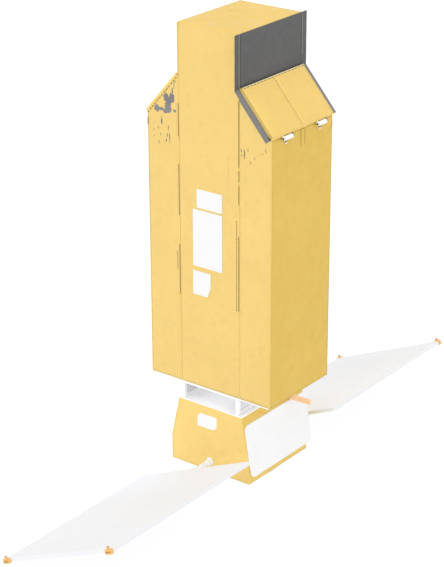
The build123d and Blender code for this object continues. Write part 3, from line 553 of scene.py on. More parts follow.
# Each finish with the nodes that wear it
FINISHED_NODES = (
    (gold_bus, "bus_structure"),
    (white_painted_light, "bus_deck", "interface_frame", "telescope_base_plate"),
    (hatch_paint, "bus_front_hatch"),
    (side_tiles, "left_side_radiator", "right_side_radiator"),
    (front_tiles, "upper_front_radiator", "middle_front_radiator", "lower_front_radiator"),
    (aluminium, "separation_ring", "radiator_standoffs"),
    (copper_film, "antenna_arms"),
    (side_panel_painted_shade, "interface_side_panels"),
    (tower_finish(), "centre_tower"),
    (wall_finish("front_wall_foil", GOLD_FRONT, "Y", HALF_DEPTH), "baffle_front_walls"),
    (wall_finish("back_wall_foil", GOLD_FRONT, "Y", HALF_DEPTH), "baffle_back_walls"),
    (wall_finish("outer_wall_foil", GOLD_SIDE_PAINTED_SHADE, "X", HALF_BODY),
     "left_baffle_outer_wall", "right_baffle_outer_wall"),
    (baffle_black, "baffle_dividers", "baffle_floors", "left_aperture_frame", "right_aperture_frame"),
    (mirror_silver, "bay_mirrors"),
    (side_tape, "divider_cover_strips"),
    (shade_film, "tower_sunshade"),
    (rail_film, "front_shade_rail", "back_shade_rail"),
    (dark_metal, "motor_feet"),
    (cell_substrate, "front_wing_cells", "back_wing_cells"),
    (drive_paint, "front_wing_yoke", "back_wing_yoke", "front_wing_drive", "back_wing_drive"),
    (amber_film, "front_wing_sensors", "back_wing_sensors"),
    (motor_paint, "motor_left_front", "motor_left_back", "motor_right_front", "motor_right_back"),
    *((door_foil[side], "door_" + side + "_front", "door_" + side + "_back") for side, hand in SIDES),
    *((lug_metal[row], "door_left_" + row + "_lugs", "door_right_" + row + "_lugs") for row, across in ROWS),
    *((wing_composite[row], row + "_wing_panel") for row, across in ROWS),
)
for finish, *nodes in FINISHED_NODES:
    for node in nodes:
        worn_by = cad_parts[node].data.materials
        worn_by.clear()
        worn_by.append(finish.material)


# Pieces

def in_scene(name, data):
    """A new object, linked into the scene."""
    thing = bpy.data.objects.new(name, data)
    bpy.context.collection.objects.link(thing)
    return thing


def settle(name, mesh, finishes, body="spacecraft"):
    """Make a piece from a mesh whose place is in its points and whose faces number its finishes."""
    for finish in finishes:
        mesh.materials.append(finish.material)
    piece, slot = in_scene(name, mesh), finishes[0].slot
    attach(piece, body)


def to_mesh(name, shape, smooth_below=None):
    """A plain mesh out of an edit mesh, smooth across edges flatter than an angle in degrees."""
    bmesh.ops.recalc_face_normals(shape, faces=shape.faces[:])
    mesh = bpy.data.meshes.new(name)
    shape.to_mesh(mesh)
    shape.free()
    if smooth_below is not None:
        mesh.shade_smooth()
        mesh.set_sharp_from_angle(angle=math.radians(smooth_below))
    return mesh


# Limits for film and for turned metal
SMOOTH_FILM, SMOOTH_METAL = 40, 35


def build(name, shape, finish, smooth_below=None, body="spacecraft"):
    """Make a piece from an edit mesh."""
    settle(name, to_mesh(name, shape, smooth_below), [finish], body)


# Foil blankets

TAPE_WIDTH, TAPE_LIFT, HEM_SINK, NEAR_CUT = 0.026, 0.0010, 0.0004, 0.0004
# Mesh steps in a cell of the quilting, and the way in from the tape over which the pads rise
CELL_STEPS, PAD_RUN = 6, 0.05


def blanket(name, outline, across, quilt, finish=gold_foil, tape=gold_tape, body="spacecraft", crown=0.0022):
    """A foil blanket on a flat face: soft pads between its seams, and taped edges down to the face.
    outline runs anticlockwise as seen from outside, across is the direction of the blanket's rows.
    Returns the places of its stand-off buttons, where the seams cross, and the way they face."""
    points = [Vector(p) for p in outline]
    normal = (points[1] - points[0]).cross(points[2] - points[1]).normalized()
    across = Vector(across)
    up = normal.cross(across)
    rows = []
    for way, pitch in zip((across, up), quilt):
        spread = [p.dot(way) for p in points]
        count = max(1, round((max(spread) - min(spread)) / pitch))
        rows.append((way, min(spread), count, (max(spread) - min(spread)) / count))
    inward = [(a, normal.cross((b - a).normalized())) for a, b in zip(points, points[1:] + points[:1])]

    def border(place):
        """Distance in from the nearest edge."""
        return min((place - a).dot(side) for a, side in inward)

    shape = bmesh.new()
    shape.faces.new([shape.verts.new(p) for p in points])
    cuts = [(way * (start + step * cell / CELL_STEPS), way)
            for way, start, count, cell in rows for step in range(1, CELL_STEPS * count)]
    cuts += [(a + side * TAPE_WIDTH, side) for a, side in inward]
    for place, way in cuts:
        geometry = shape.verts[:] + shape.edges[:] + shape.faces[:]
        bmesh.ops.bisect_plane(shape, geom=geometry, plane_co=place, plane_no=way, dist=NEAR_CUT)
    rim = {v for v in shape.verts if v.is_boundary}
    for face in shape.faces:
        face.material_index = 1 if border(face.calc_center_median()) < TAPE_WIDTH else 0
        face.smooth = True
    for v in shape.verts:
        swell = 1.0
        for way, start, count, cell in rows:
            swell *= abs(math.sin(math.pi * (v.co.dot(way) - start) / cell))
        rise = crown * swell ** 0.5 * min(1.0, max(0.0, (border(v.co) - TAPE_WIDTH) / PAD_RUN))
        v.co += normal * (TAPE_LIFT + (0.0 if v in rim else rise))
    skirt = bmesh.ops.extrude_edge_only(shape, edges=[e for e in shape.edges if e.is_boundary])["geom"]
    for v in [g for g in skirt if isinstance(g, bmesh.types.BMVert)]:
        v.co -= normal * (TAPE_LIFT + HEM_SINK)
    hem = [g for g in skirt if isinstance(g, bmesh.types.BMFace)]
    hem += bmesh.ops.holes_fill(shape, edges=[e for e in shape.edges if e.is_boundary], sides=0)["faces"]
    for face in hem:
        face.material_index = 1
        face.smooth = False
    settle(name, to_mesh(name, shape), [finish, tape], body)
    (way, start, count, cell), (up, low, levels, rise) = rows
    level = normal * (points[0].dot(normal) + TAPE_LIFT)
    crossings = [way * (start + i * cell) + up * (low + j * rise) + level
                 for i in range(1, count) for j in range(1, levels)]
    return [(place, normal) for place in crossings if border(place) > 2 * TAPE_WIDTH]


def once_round(near, far, low, high, place):
    """The corners of a four-sided face in order, place being where a pair of its limits lies."""
    return [place(near, low), place(far, low), place(far, high), place(near, high)]


# Seams at the tower's corners stay open over these heights and are taped shut elsewhere
OPEN_SEAMS = {"left": ((2.363, 3.012), (3.378, 4.018), (4.359, 4.761)),
              "right": ((2.362, 3.310), (3.705, 3.937), (3.985, 4.118), (4.155, 4.950))}
# How far the blankets stop short of the corners and of the slope
HEM_GAP, SLOPE_GAP, TOP_GAP = 0.008, 0.006, 0.007
deep = HALF_DEPTH - HEM_GAP
blanket_low, blanket_high = BODY_BOTTOM + 0.003, TOWER_TOP - 0.009
baffle_near, baffle_far = HALF_TOWER - 0.0025, HALF_BODY - HEM_GAP
buttons = {"front_back": [], "outer_wall": [], "tower_top": [], "bus": []}

# Telescope blankets. A step of -1 through the corners turns them round where side and row mirror them
for row, across in ROWS:
    near = across * (SEAM_IN - 0.0005)
    face = once_round(near, -near, blanket_low, blanket_high, lambda x, z: (x, across * HALF_DEPTH, z))
    buttons["front_back"] += blanket("tower_" + row + "_blanket", face, (-across, 0, 0), (0.290, 0.420))
for row, across in ROWS:
    for side, hand in SIDES:
        foot = [(hand * x, across * HALF_DEPTH, blanket_low) for x in (baffle_near, baffle_far)]
        slope = [(hand * x, across * HALF_DEPTH, slant_z(x, WALL_RISE) - SLOPE_GAP)
                 for x in (baffle_far, baffle_near)]
        buttons["front_back"] += blanket(
            side + "_baffle_" + row + "_blanket", (foot + slope)[::-hand * across], (-across, 0, 0),
            (0.225, 0.420), gold_worn if row == "front" else gold_foil)
face = once_round(TOP_GAP - HALF_TOWER, HALF_TOWER - TOP_GAP, -deep, deep, lambda x, y: (x, y, TOWER_TOP))
buttons["tower_top"] += blanket("tower_top_blanket", face, (1, 0, 0), (0.290, 0.300), gold_top, gold_top)
face = once_round(deep, -deep, slant_z(HALF_TOWER, WALL_RISE) + 0.009, TOWER_TOP - HEM_GAP,
                  lambda y, z: (-HALF_TOWER, y, z))
buttons["front_back"] += blanket("tower_left_blanket", face, (0, -1, 0), (0.300, 0.300))
for side, hand in SIDES:
    face = once_round(-hand * deep, hand * deep, blanket_low, slant_z(HALF_BODY, WALL_RISE) - SLOPE_GAP,
                      lambda y, z: (hand * HALF_BODY, y, z))
    buttons["outer_wall"] += blanket(side + "_outer_wall_blanket", face, (0, hand, 0), (0.300, 0.420),
                                     gold_side, side_tape)

# Door blankets, each on its own door
DOOR_HEM = 0.004
door_buttons = {}
for door, side, hand, across in DOORS:
    face = once_round(across * (DOOR_LOW + DOOR_HEM), across * (DOOR_HIGH - DOOR_HEM), DOOR_START + DOOR_HEM,
                      DOOR_END - DOOR_HEM, lambda y, along: slope_point(hand, along, y, DOOR_OUTER))
    door_buttons[door] = blanket(door + "_blanket", face[::hand * across], (0, hand, 0), (0.290, 0.340),
                                 door_foil[side], door_tape, door, 0.0016)

# Bus blankets
bus_low, bus_high, bus_wide = BUS_BOTTOM + HEM_GAP, BUS_TOP - HEM_GAP, BUS_HALF - HEM_GAP
bus_top_wide = BUS_TOP_HALF - TOP_GAP
for row, across in ROWS:
    outline = ((-bus_wide, bus_low), (bus_wide, bus_low), (bus_wide, BUS_KINK),
               (bus_top_wide, bus_high), (-bus_top_wide, bus_high), (-bus_wide, BUS_KINK))
    face = [(-across * x, across * HALF_DEPTH, z) for x, z in outline]
    buttons["bus"] += blanket("bus_" + row + "_blanket", face, (-across, 0, 0), (0.300, 0.290),
                              gold_bus, gold_bus)
for side, hand in SIDES:
    face = once_round(-hand * deep, hand * deep, bus_low, BUS_KINK - HEM_GAP,
                      lambda y, z: (hand * BUS_HALF, y, z))
    blanket(side + "_bus_lower_blanket", face, (0, hand, 0), (0.300, 0.330), bus_side, bus_side)
    kink, top = Vector((hand * BUS_HALF, 0, BUS_KINK)), Vector((hand * BUS_TOP_HALF, 0, BUS_TOP))
    hem = (top - kink).normalized() * HEM_GAP
    face = once_round(-hand * deep, hand * deep, kink + hem, top - hem, lambda y, edge: (edge.x, y, edge.z))
    blanket(side + "_bus_upper_blanket", face, (0, hand, 0), (0.300, 0.270), bus_side, bus_side)


# Small solids

def join_rings(shape, rings, hollow=False):
    """Skin a row of rings of points. A hollow row closes on itself, another is capped at its ends."""
    rings = [[shape.verts.new(p) for p in ring] for ring in rings]
    for low, high in zip(rings, rings[1:] + (rings[:1] if hollow else [])):
        for here in range(len(low)):
            shape.faces.new((low[here - 1], low[here], high[here], high[here - 1]))
    if not hollow:
        shape.faces.new(rings[0][::-1])
        shape.faces.new(rings[-1])


def circle(count, shift=0.0):
    """Points round a unit circle, begun a share of a step on."""
    turns = [2 * math.pi * (step + shift) / count for step in range(count)]
    return [(math.cos(turn), math.sin(turn)) for turn in turns]


def lathe(shape, profile, segments, place=Matrix(), hollow=False):
    """Turn a profile of (radius, height) about the Z of its place."""
    join_rings(shape, [[place @ Vector((radius * x, radius * y, height)) for x, y in circle(segments)]
                       for radius, height in profile], hollow)


def bar(shape, start, end, out, width, height, chamfer=0.0003, base=0.0):
    """A low bar with chamfered edges that runs from start to end on a face that looks out."""
    start, end, out = Vector(start), Vector(end), Vector(out).normalized()
    side = out.cross((end - start).normalized()) * width / 2
    narrow = side * (1 - chamfer / (width / 2))
    low, shoulder, top = out * base, out * (base + height - chamfer), out * (base + height)
    section = (low - side, low + side, shoulder + side, top + narrow, top - narrow, shoulder - side)
    join_rings(shape, [[place + p for p in section] for place in (start, end)])


def turned_to(place, axis):
    """A frame at a place whose Z looks along an axis."""
    return Matrix.Translation(Vector(place)) @ Vector(axis).to_track_quat("Z", "Y").to_matrix().to_4x4()


copied_shapes = []


def helper(name, shape):
    """A shape that geometry trees copy; it is removed before the end."""
    copied_shapes.append(in_scene(name, to_mesh(name, shape)))
    return copied_shapes[-1]


# Geometry trees

def open_tree(name, sizes):
    """An empty geometry tree with named inputs."""
    tree = bpy.data.node_groups.new(name, "GeometryNodeTree")
    tree.interface.new_socket("Geometry", in_out="INPUT", socket_type="NodeSocketGeometry")
    for label, kind in sizes.items():
        tree.interface.new_socket(label, in_out="INPUT", socket_type="NodeSocket" + kind)
    tree.interface.new_socket("Geometry", in_out="OUTPUT", socket_type="NodeSocketGeometry")
    return tree, add_node(tree, "NodeGroupInput").outputs


def close_tree(tree, geometry, finish):
    """Realize the instances, set the finish and send them out."""
    real = result(tree, "GeometryNodeRealizeInstances", {"Geometry": geometry})
    dressed = result(tree, "GeometryNodeSetMaterial", {"Geometry": real, "Material": finish})
    add_node(tree, "NodeGroupOutput", {"Geometry": dressed})
    return tree


def copies_of(tree, shape, points, **placing):
    """A shape on every point, turned and sized by the other inputs."""
    copied = result(tree, "GeometryNodeObjectInfo", {"Object": shape}, "Geometry")
    return result(tree, "GeometryNodeInstanceOnPoints", {"Points": points, "Instance": copied, **placing})


def scatter_tree():
    """One shape on every point, standing on the way the point faces, each with its own small turn."""
    tree, sizes = open_tree("set_on_points", {"Shape": "Object", "Size": "Float", "Spin": "Float",
                                              "Seed": "Int", "Finish": "Material"})
    facing = result(tree, "GeometryNodeInputNamedAttribute", {"Name": "facing"}, "Attribute",
                    data_type="FLOAT_VECTOR")
    stand = result(tree, "FunctionNodeAlignRotationToVector", {"Vector": facing}, axis="Z")
    turn = result(tree, "FunctionNodeRandomValue", {3: sizes["Spin"], 8: sizes["Seed"]}, 1, data_type="FLOAT")
    twist = result(tree, "FunctionNodeAxisAngleToRotation", {"Axis": (0.0, 0.0, 1.0), "Angle": turn})
    pose = result(tree, "FunctionNodeRotateRotation", {"Rotation": stand, "Rotate By": twist},
                  rotation_space="LOCAL")
    copies = copies_of(tree, sizes["Shape"], sizes["Geometry"], Rotation=pose, Scale=sizes["Size"])
    return close_tree(tree, copies, sizes["Finish"])


def row_tree():
    """One shape in a straight row, its X along the row and its Z on the way the face looks."""
    tree, sizes = open_tree("set_in_row", {"Shape": "Object", "Count": "Int", "Start": "Vector",
                                           "Step": "Vector", "Facing": "Vector", "Finish": "Material"})
    line = result(tree, "GeometryNodeMeshLine", {"Count": sizes["Count"], "Start Location": sizes["Start"],
                                                 "Offset": sizes["Step"]}, mode="OFFSET")
    along = result(tree, "FunctionNodeAlignRotationToVector", {"Vector": sizes["Step"]}, axis="X")
    pose = result(tree, "FunctionNodeAlignRotationToVector", {"Rotation": along, "Vector": sizes["Facing"]},
                  axis="Z", pivot_axis="X")
    return close_tree(tree, copies_of(tree, sizes["Shape"], line, Rotation=pose), sizes["Finish"])


def cell_tree():
    """A field of thin solar cells with cropped corners, laid in columns and rows on a turned plane."""
    tree, sizes = open_tree("cell_field", {
        "Field Width": "Float", "Field Length": "Float", "Columns": "Int", "Rows": "Int",
        "Cell Width": "Float", "Cell Length": "Float", "Crop": "Float", "Thickness": "Float",
        "Turn": "Vector", "Place": "Vector", "Finish": "Material"})
    grid = result(tree, "GeometryNodeMeshGrid", {
        "Size X": sizes["Field Width"], "Size Y": sizes["Field Length"],
        "Vertices X": sizes["Columns"], "Vertices Y": sizes["Rows"]})
    outline = result(tree, "GeometryNodeCurvePrimitiveQuadrilateral",
                     {"Width": sizes["Cell Width"], "Height": sizes["Cell Length"]})
    cropped = result(tree, "GeometryNodeFilletCurve", {"Curve": outline, "Radius": sizes["Crop"]},
                     mode="POLY")
    sheet = result(tree, "GeometryNodeFillCurve", {"Curve": cropped}, mode="NGONS")
    raised = result(tree, "GeometryNodeExtrudeMesh",
                    {"Mesh": sheet, "Offset Scale": sizes["Thickness"], "Individual": False})
    joined = add_node(tree, "GeometryNodeJoinGeometry")
    tree.links.new(raised, joined.inputs["Geometry"])
    tree.links.new(result(tree, "GeometryNodeFlipFaces", {"Mesh": sheet}), joined.inputs["Geometry"])
    cell = result(tree, "GeometryNodeMergeByDistance", {"Geometry": joined.outputs[0], "Distance": 0.00005})
    copies = result(tree, "GeometryNodeInstanceOnPoints", {"Points": grid, "Instance": cell})
    turn = result(tree, "FunctionNodeEulerToRotation", {"Euler": sizes["Turn"]})
    laid = result(tree, "GeometryNodeTransform",
                  {"Geometry": copies, "Translation": sizes["Place"], "Rotation": turn})
    return close_tree(tree, laid, sizes["Finish"])


SCATTER, ROW, CELLS = scatter_tree(), row_tree(), cell_tree()


def grown(name, tree, values, points=None):
    """The plain mesh that a geometry tree makes with its named inputs set."""
    carrier = in_scene(name + "_carrier", points or bpy.data.meshes.new(name + "_seed"))
    grow = carrier.modifiers.new("grow", "NODES")
    grow.node_group = tree
    for item in tree.interface.items_tree:
        if item.in_out == "INPUT" and item.name in values:
            grow[item.identifier] = values[item.name]
    bpy.context.view_layer.update()
    mesh = bpy.data.meshes.new_from_object(carrier.evaluated_get(bpy.context.evaluated_depsgraph_get()))
    bpy.data.objects.remove(carrier)
    mesh.name = name
    mesh.materials.clear()
    if "facing" in mesh.attributes:
        mesh.attributes.remove(mesh.attributes["facing"])
    return mesh


def scatter(name, shape, finish, size, places, spin=0.0, seed=1, body="spacecraft"):
    """Copies of a shape at a list of (place, facing)."""
    points = bpy.data.meshes.new(name + "_points")
    points.from_pydata([tuple(place) for place, facing in places], [], [])
    stored = points.attributes.new("facing", "FLOAT_VECTOR", "POINT")
    for item, (place, facing) in zip(stored.data, places):
        item.vector = facing
    values = {"Shape": shape, "Size": size, "Spin": spin, "Seed": seed, "Finish": finish.material}
    settle(name, grown(name, SCATTER, values, points), [finish], body)


def rows_of(name, shape, finish, rows, body="spacecraft"):
    """Several straight rows of a shape as one piece: each row is (start, end, count, facing)."""
    joined = bmesh.new()
    for start, end, count, facing in rows:
        step = (Vector(end) - Vector(start)) / (count - 1)
        values = {"Shape": shape, "Count": count, "Start": tuple(start), "Step": tuple(step),
                  "Facing": tuple(facing), "Finish": finish.material}
        row = grown(name, ROW, values)
        joined.from_mesh(row)
        bpy.data.meshes.remove(row)
    mesh = bpy.data.meshes.new(name)
    joined.to_mesh(mesh)
    joined.free()
    settle(name, mesh, [finish], body)


def inset_ring(corners, out, inset, pitch):
    """Places along the inside of a flat outline, a corner each and the rest evenly between them."""
    corners, out = [Vector(c) for c in corners], Vector(out).normalized()
    ways = [(b - a).normalized() for a, b in zip(corners, corners[1:] + corners[:1])]
    moved = [corner + (after - before) * inset / before.cross(after).length
             for corner, before, after in zip(corners, ways[-1:] + ways, ways)]
    places = []
    for a, b in zip(moved, moved[1:] + moved[:1]):
        steps = max(1, round((b - a).length / pitch))
        places += [(a.lerp(b, step / steps), out) for step in range(steps)]
    return places


# Shapes that are copied: sizes are in units of their radius, or in metres for the stitches

def turned_shape(name, profile):
    shape = bmesh.new()
    lathe(shape, profile, 8)
    return helper(name, shape)


def stitch(name, length, width, height):
    """A flat thread stitch that dips at both ends, lying along X."""
    section = ((-0.5, 0.0), (0.5, 0.0), (0.5, 0.6), (0.2, 1.0), (-0.2, 1.0), (-0.5, 0.6))
    shape = bmesh.new()
    join_rings(shape, [[(along * length, y * width * (0.6 + 0.4 * swell), z * height * swell)
                        for y, z in section]
                       for along, swell in ((-0.5, 0.3), (-0.42, 1.0), (0.42, 1.0), (0.5, 0.3))])
    return helper(name, shape)


socket_head = turned_shape("socket_head_shape", ((1.0, -0.10), (1.55, 0.0), (1.55, 0.16), (1.0, 0.22),
                                                 (1.0, 0.85), (0.84, 1.0), (0.50, 1.0), (0.46, 0.50)))
flat_button = turned_shape("flat_button_shape", ((1.0, -0.10), (1.0, 0.12), (0.80, 0.30), (0.35, 0.40)))
edge_stitch = stitch("edge_stitch_shape", 0.040, 0.0062, 0.0012)
seam_stitch = stitch("seam_stitch_shape", 0.030, 0.0075, 0.0014)
slope_stitch = stitch("slope_stitch_shape", 0.034, 0.0060, 0.0030)
fine_stitch = stitch("fine_stitch_shape", 0.022, 0.0022, 0.0014)

# Blanket buttons, where the blankets' seams cross clear of the plates and the hatch
BUTTON_RADIUS, BUTTON_CLEARANCE, BUTTON_SPIN, SCREW_SPIN = 0.0065, 0.02, 0.7, 6.28
HATCH_AREA = (-0.190, 0.105, 0.677, 0.857)


def uncovered(place):
    grow = BUTTON_CLEARANCE
    return place.y > 0 or not any(a - grow < place.x < b + grow and c - grow < place.z < d + grow
                                  for a, b, c, d in (*PLATES, HATCH_AREA))


for area, finish in (("front_back", gold_tape), ("outer_wall", side_tape), ("tower_top", gold_top),
                     ("bus", gold_bus)):
    places = [(place, facing) for place, facing in buttons[area] if uncovered(place)]
    scatter(area + "_blanket_buttons", flat_button, finish, BUTTON_RADIUS, places,
            BUTTON_SPIN, 3)
for door, places in door_buttons.items():
    scatter(door + "_buttons", flat_button, door_tape, BUTTON_RADIUS, places, BUTTON_SPIN, 5, door)

# Corner seams: tape over the groove where it is closed, and thread beside it
SEAM_X, SEAM_TAPE_WIDTH, SEAM_TAPE_HEIGHT, STITCH_LIFT = 0.4390, 0.024, 0.0010, 0.0010
seam_tape = bmesh.new()
for row, across in ROWS:
    for side, hand in SIDES:
        x, y = -across * hand * SEAM_X, across * HALF_DEPTH
        level = blanket_low
        for low, high in (*OPEN_SEAMS[side], (slant_z(HALF_TOWER, WALL_RISE) - 0.012,) * 2):
            if low > level + 0.01:
                bar(seam_tape, (x, y, level), (x, y, low), (0, across, 0), SEAM_TAPE_WIDTH, SEAM_TAPE_HEIGHT,
                    base=TAPE_LIFT)
            level = high
build("corner_seam_tapes", seam_tape, gold_tape)


def upright_rows(x, low, high, count, lift=STITCH_LIFT):
    """A row of stitches up the front, and the same row turned half round on the back."""
    return [(*((-across * x, across * (HALF_DEPTH + lift), z) for z in (low, high)), count, (0, across, 0))
            for row, across in ROWS]


def slope_row(across):
    """A row of stitches under the left door seam."""
    return (*((-x, across * (HALF_DEPTH + STITCH_LIFT), slant_z(x, 0) - 0.008) for x in (0.465, 0.885)), 13,
            (0, across, 0))


rows_of("corner_seam_stitches", seam_stitch, thread,
        upright_rows(0.408, 2.378, 3.485, 33) + upright_rows(-0.471, 2.700, 2.900, 7))
rows_of("left_slope_stitches", slope_stitch, thread,
        [slope_row(across) for row, across in ROWS])
rows_of("tower_pocket_stitches", fine_stitch, faint_thread,
        upright_rows(0.288, 3.825, 4.245, 17, 0.0022))


# Door edges: flaps that hang over the gaps, a pale binding and a row of stitches along the upper edge

FLAP_TOP, FLAP_LOW, FLAP_THICKNESS, FLAP_STEPS = DOOR_OUTER - 0.001, 0.0105, 0.0016, 20
DIVIDER_FLAP_Y, BINDING_IN, STITCHES_IN, STITCHES_END = 0.0045, 0.0055, 0.0160, 0.030


def soft_strip(shape, tops, drop, out, wave, seed):
    """A thin hanging strip below a line of points, its hem gently wavy, closed all round."""
    rings = []
    for step, top in enumerate(tops):
        ripple = out * (wave * math.sin(1.9 * step + seed) * math.sin(0.7 * step + 2.0 * seed))
        hem = top + drop + ripple
        middle = top.lerp(hem, 0.5)
        rings.append((top, middle - ripple * 0.2, hem, hem + out * FLAP_THICKNESS,
                      middle + out * (FLAP_THICKNESS * 1.3), top + out * FLAP_THICKNESS))
    join_rings(shape, rings)


def slope_bar(shape, hand, along, ys, offset, width, height, chamfer):
    """A bar on a slope, from the first distance up it and the first y to the second of each."""
    ends = [slope_point(hand, a, y, offset) for a, y in zip(along, ys)]
    bar(shape, *ends, out_of_slope(hand), width, height, chamfer)


for door, side, hand, across in DOORS:
    out_way = out_of_slope(hand)
    drop = -out_way * (FLAP_TOP - FLAP_LOW)
    inner, outer, far = (slope_point(hand, along, across * y, FLAP_TOP) for along, y in (
        (DOOR_START, DOOR_LOW), (DOOR_START, DOOR_HIGH), (DOOR_END, DOOR_HIGH)))
    shares = [step / FLAP_STEPS for step in range(FLAP_STEPS + 1)]
    flaps, binding = bmesh.new(), bmesh.new()
    soft_strip(flaps, [outer.lerp(far, t) for t in shares], drop, Vector((0, across, 0)), 0.0007, 1.0)
    soft_strip(flaps, [inner.lerp(outer, t) for t in shares], drop, (outer - far).normalized(), 0.0005, 2.0)
    slope_bar(flaps, hand, (DOOR_START, DOOR_END), (across * DIVIDER_FLAP_Y,) * 2, DOOR_OUTER - 0.006,
              0.0040, 0.0058, 0.0008)
    slope_bar(binding, hand, (DOOR_END - BINDING_IN,) * 2,
              (across * (DOOR_LOW + DOOR_HEM), across * (DOOR_HIGH - 0.001)), DOOR_OUTER,
              0.0090, 0.0018, 0.0006)
    build(door + "_edge_flaps", flaps, edge_tape[side], SMOOTH_FILM, door)
    build(door + "_upper_binding", binding, pale_tape, body=door)
    ends = [slope_point(hand, DOOR_END - STITCHES_IN, across * y, DOOR_OUTER + 0.0009)
            for y in (DOOR_LOW + STITCHES_END, DOOR_HIGH - STITCHES_END)]
    rows_of(door + "_upper_stitches", edge_stitch, thread, [(*ends, 9, out_way)], door)

# Beads beside the shade, black ends on its rails, edges of the cover strips, tabs at the outer corners
bead_low, bead_high = slant_z(SHADE_FACE, WALL_RISE) + 0.004, TOWER_TOP - 0.002
for name, y, low, width, finish in (("near_shade_bead", -0.6135, bead_low, 0.0085, near_bead),
                                    ("far_shade_bead", 0.6045, 5.215, 0.0060, far_bead)):
    bead = bmesh.new()
    bar(bead, (SHADE_FACE, y, low), (SHADE_FACE, y, bead_high), (1, 0, 0), width, 0.0018, 0.0006)
    build(name, bead, finish)
caps, strip_edges, tabs = bmesh.new(), bmesh.new(), bmesh.new()
CAP_LENGTH, TAB_X, TAB_LOW, TAB_HIGH = 0.045, 0.8945, 4.415, 4.505
for row, across in ROWS:
    slope_bar(caps, 1, (RAIL_STOP, RAIL_STOP + CAP_LENGTH), (across * RAIL_ROOT,) * 2, 0,
              0.0240, 0.0012, 0.0004)
    x, y = across * TAB_X, across * HALF_DEPTH
    bar(tabs, (x, y, TAB_LOW), (x, y, TAB_HIGH), (0, across, 0), 0.0090, 0.0022)
for side, hand in SIDES:
    for x, y in ((HALF_BODY + 0.001, -STRIP_HALF - 0.0016), (STRIP_FACE, STRIP_HALF - 0.0030)):
        bar(strip_edges, (hand * x, y, STRIP_LOW + 0.002), (hand * x, y, STRIP_HIGH - 0.006), (hand, 0, 0),
            0.0032, 0.0014)
build("rail_end_caps", caps, black_tape)
build("cover_strip_edges", strip_edges, thread)
build("corner_tabs", tabs, thread)

# Door motors: end rings, bearing discs and the connector under each, and the rings round the door lugs' eyes
END_RING = ((0.0205, -0.001), (0.0245, -0.001), (0.0245, 0.0008), (0.0225, 0.0020), (0.0205, 0.0014))
BEARING_DISC = ((0.0084, -0.001), (0.0140, -0.001), (0.0140, 0.0014), (0.0128, 0.0026), (0.0084, 0.0026))
LUG_RING = ((0.0090, -0.001), (0.0155, -0.001), (0.0155, 0.0012), (0.0142, 0.0020), (0.0090, 0.0020))
# The plug and its flange: half length, width, height, chamfer
CONNECTOR, CONNECTOR_Z = ((0.010, 0.016, 0.011, 0.002), (0.013, 0.020, 0.003, 0.001)), 4.476
rings, discs, plugs = bmesh.new(), bmesh.new(), bmesh.new()
for door, side, hand, across in DOORS:
    wall, middle = hand * (HALF_BODY + 0.002), across * MOTOR_Y
    for end, label in ((-1, "near"), (1, "far")):
        face = turned_to((hand * HINGE_X, middle + end * MOTOR_HALF, HINGE_Z), (0, end, 0))
        lathe(rings, END_RING, 32, face, True)
        lathe(discs, BEARING_DISC, 32, face, True)
        lug_ring = bmesh.new()
        face = turned_to((hand * HINGE_X, middle + end * LUG_FACE, HINGE_Z), (0, end, 0))
        lathe(lug_ring, LUG_RING, 24, face, True)
        build(door + "_" + label + "_bearing_ring", lug_ring, ring_metal, SMOOTH_METAL, door)
    for half, width, height, chamfer in CONNECTOR:
        bar(plugs, (wall, middle - half, CONNECTOR_Z), (wall, middle + half, CONNECTOR_Z), (hand, 0, 0),
            width, height, chamfer)
build("motor_end_rings", rings, white_painted_light, SMOOTH_METAL)
build("motor_bearing_discs", discs, dark_metal, SMOOTH_METAL)
build("motor_connectors", plugs, white_painted_light)

# Foil skirts that close the gap between the bus's leaning sides and the top edges of the radiators
SKIRT_HIGH, SKIRT_GAP, SKIRT_THICKNESS, SKIRT_HALF, SKIRT_STEPS = 0.932, 0.0135, 0.0014, 0.597, 40
SKIRT_SWELL, SKIRT_RIPPLE, CHEEK_DROP = 0.0035, 0.0012, 0.36


def at_side(hand, place):
    """A point on one side, from its width and height."""
    return Vector((hand * place[0], 0, place[1]))


for side, hand in SIDES:
    top, foot = at_side(hand, RADIATOR_TOP), at_side(hand, RADIATOR_FOOT)
    lean = (foot - top).normalized()
    to_kink = at_side(hand, (BUS_HALF - BUS_TOP_HALF, BUS_KINK - BUS_TOP))
    start = at_side(hand, (BUS_TOP_HALF, BUS_TOP)) + to_kink * (BUS_TOP - SKIRT_HIGH) / (BUS_TOP - BUS_KINK)
    end = top - Vector((hand * SKIRT_GAP, 0, 0.002))
    out = Vector((hand * (start.z - end.z), 0, abs(end.x - start.x))).normalized()
    half = min(RADIATOR_LENGTHS[side] / 2 - 0.010, SKIRT_HALF)
    skirt, profiles = bmesh.new(), []

    def lower_edge(y):
        """The radiator's top edge, with its cropped corners."""
        return end + lean * max(0.0, abs(y) - RADIATOR_LENGTHS[side] / 2 + RADIATOR_CUT)

    for step in range(SKIRT_STEPS + 1):
        y = -half + 2 * half * step / SKIRT_STEPS
        swell = SKIRT_SWELL + SKIRT_RIPPLE * math.sin(1.7 * step) * math.sin(0.6 * step + 1.0)
        profile = [start.lerp(lower_edge(y), t) + Vector((0, y, 0)) + out * swell * math.sin(math.pi * t)
                   for t in (0.0, 0.25, 0.5, 0.75, 1.0)]
        profiles.append(profile + [p - out * SKIRT_THICKNESS for p in profile[::-1]])
    join_rings(skirt, profiles)
    for y in (-half, half):
        cheek = (start, lower_edge(y), end + lean * CHEEK_DROP, start + to_kink * 0.6)
        join_rings(skirt, [[p + Vector((0, y + step, 0)) for p in cheek]
                           for step in (0.0, math.copysign(SKIRT_THICKNESS, -y))])
    build(side + "_radiator_skirt", skirt, bus_side, SMOOTH_FILM)

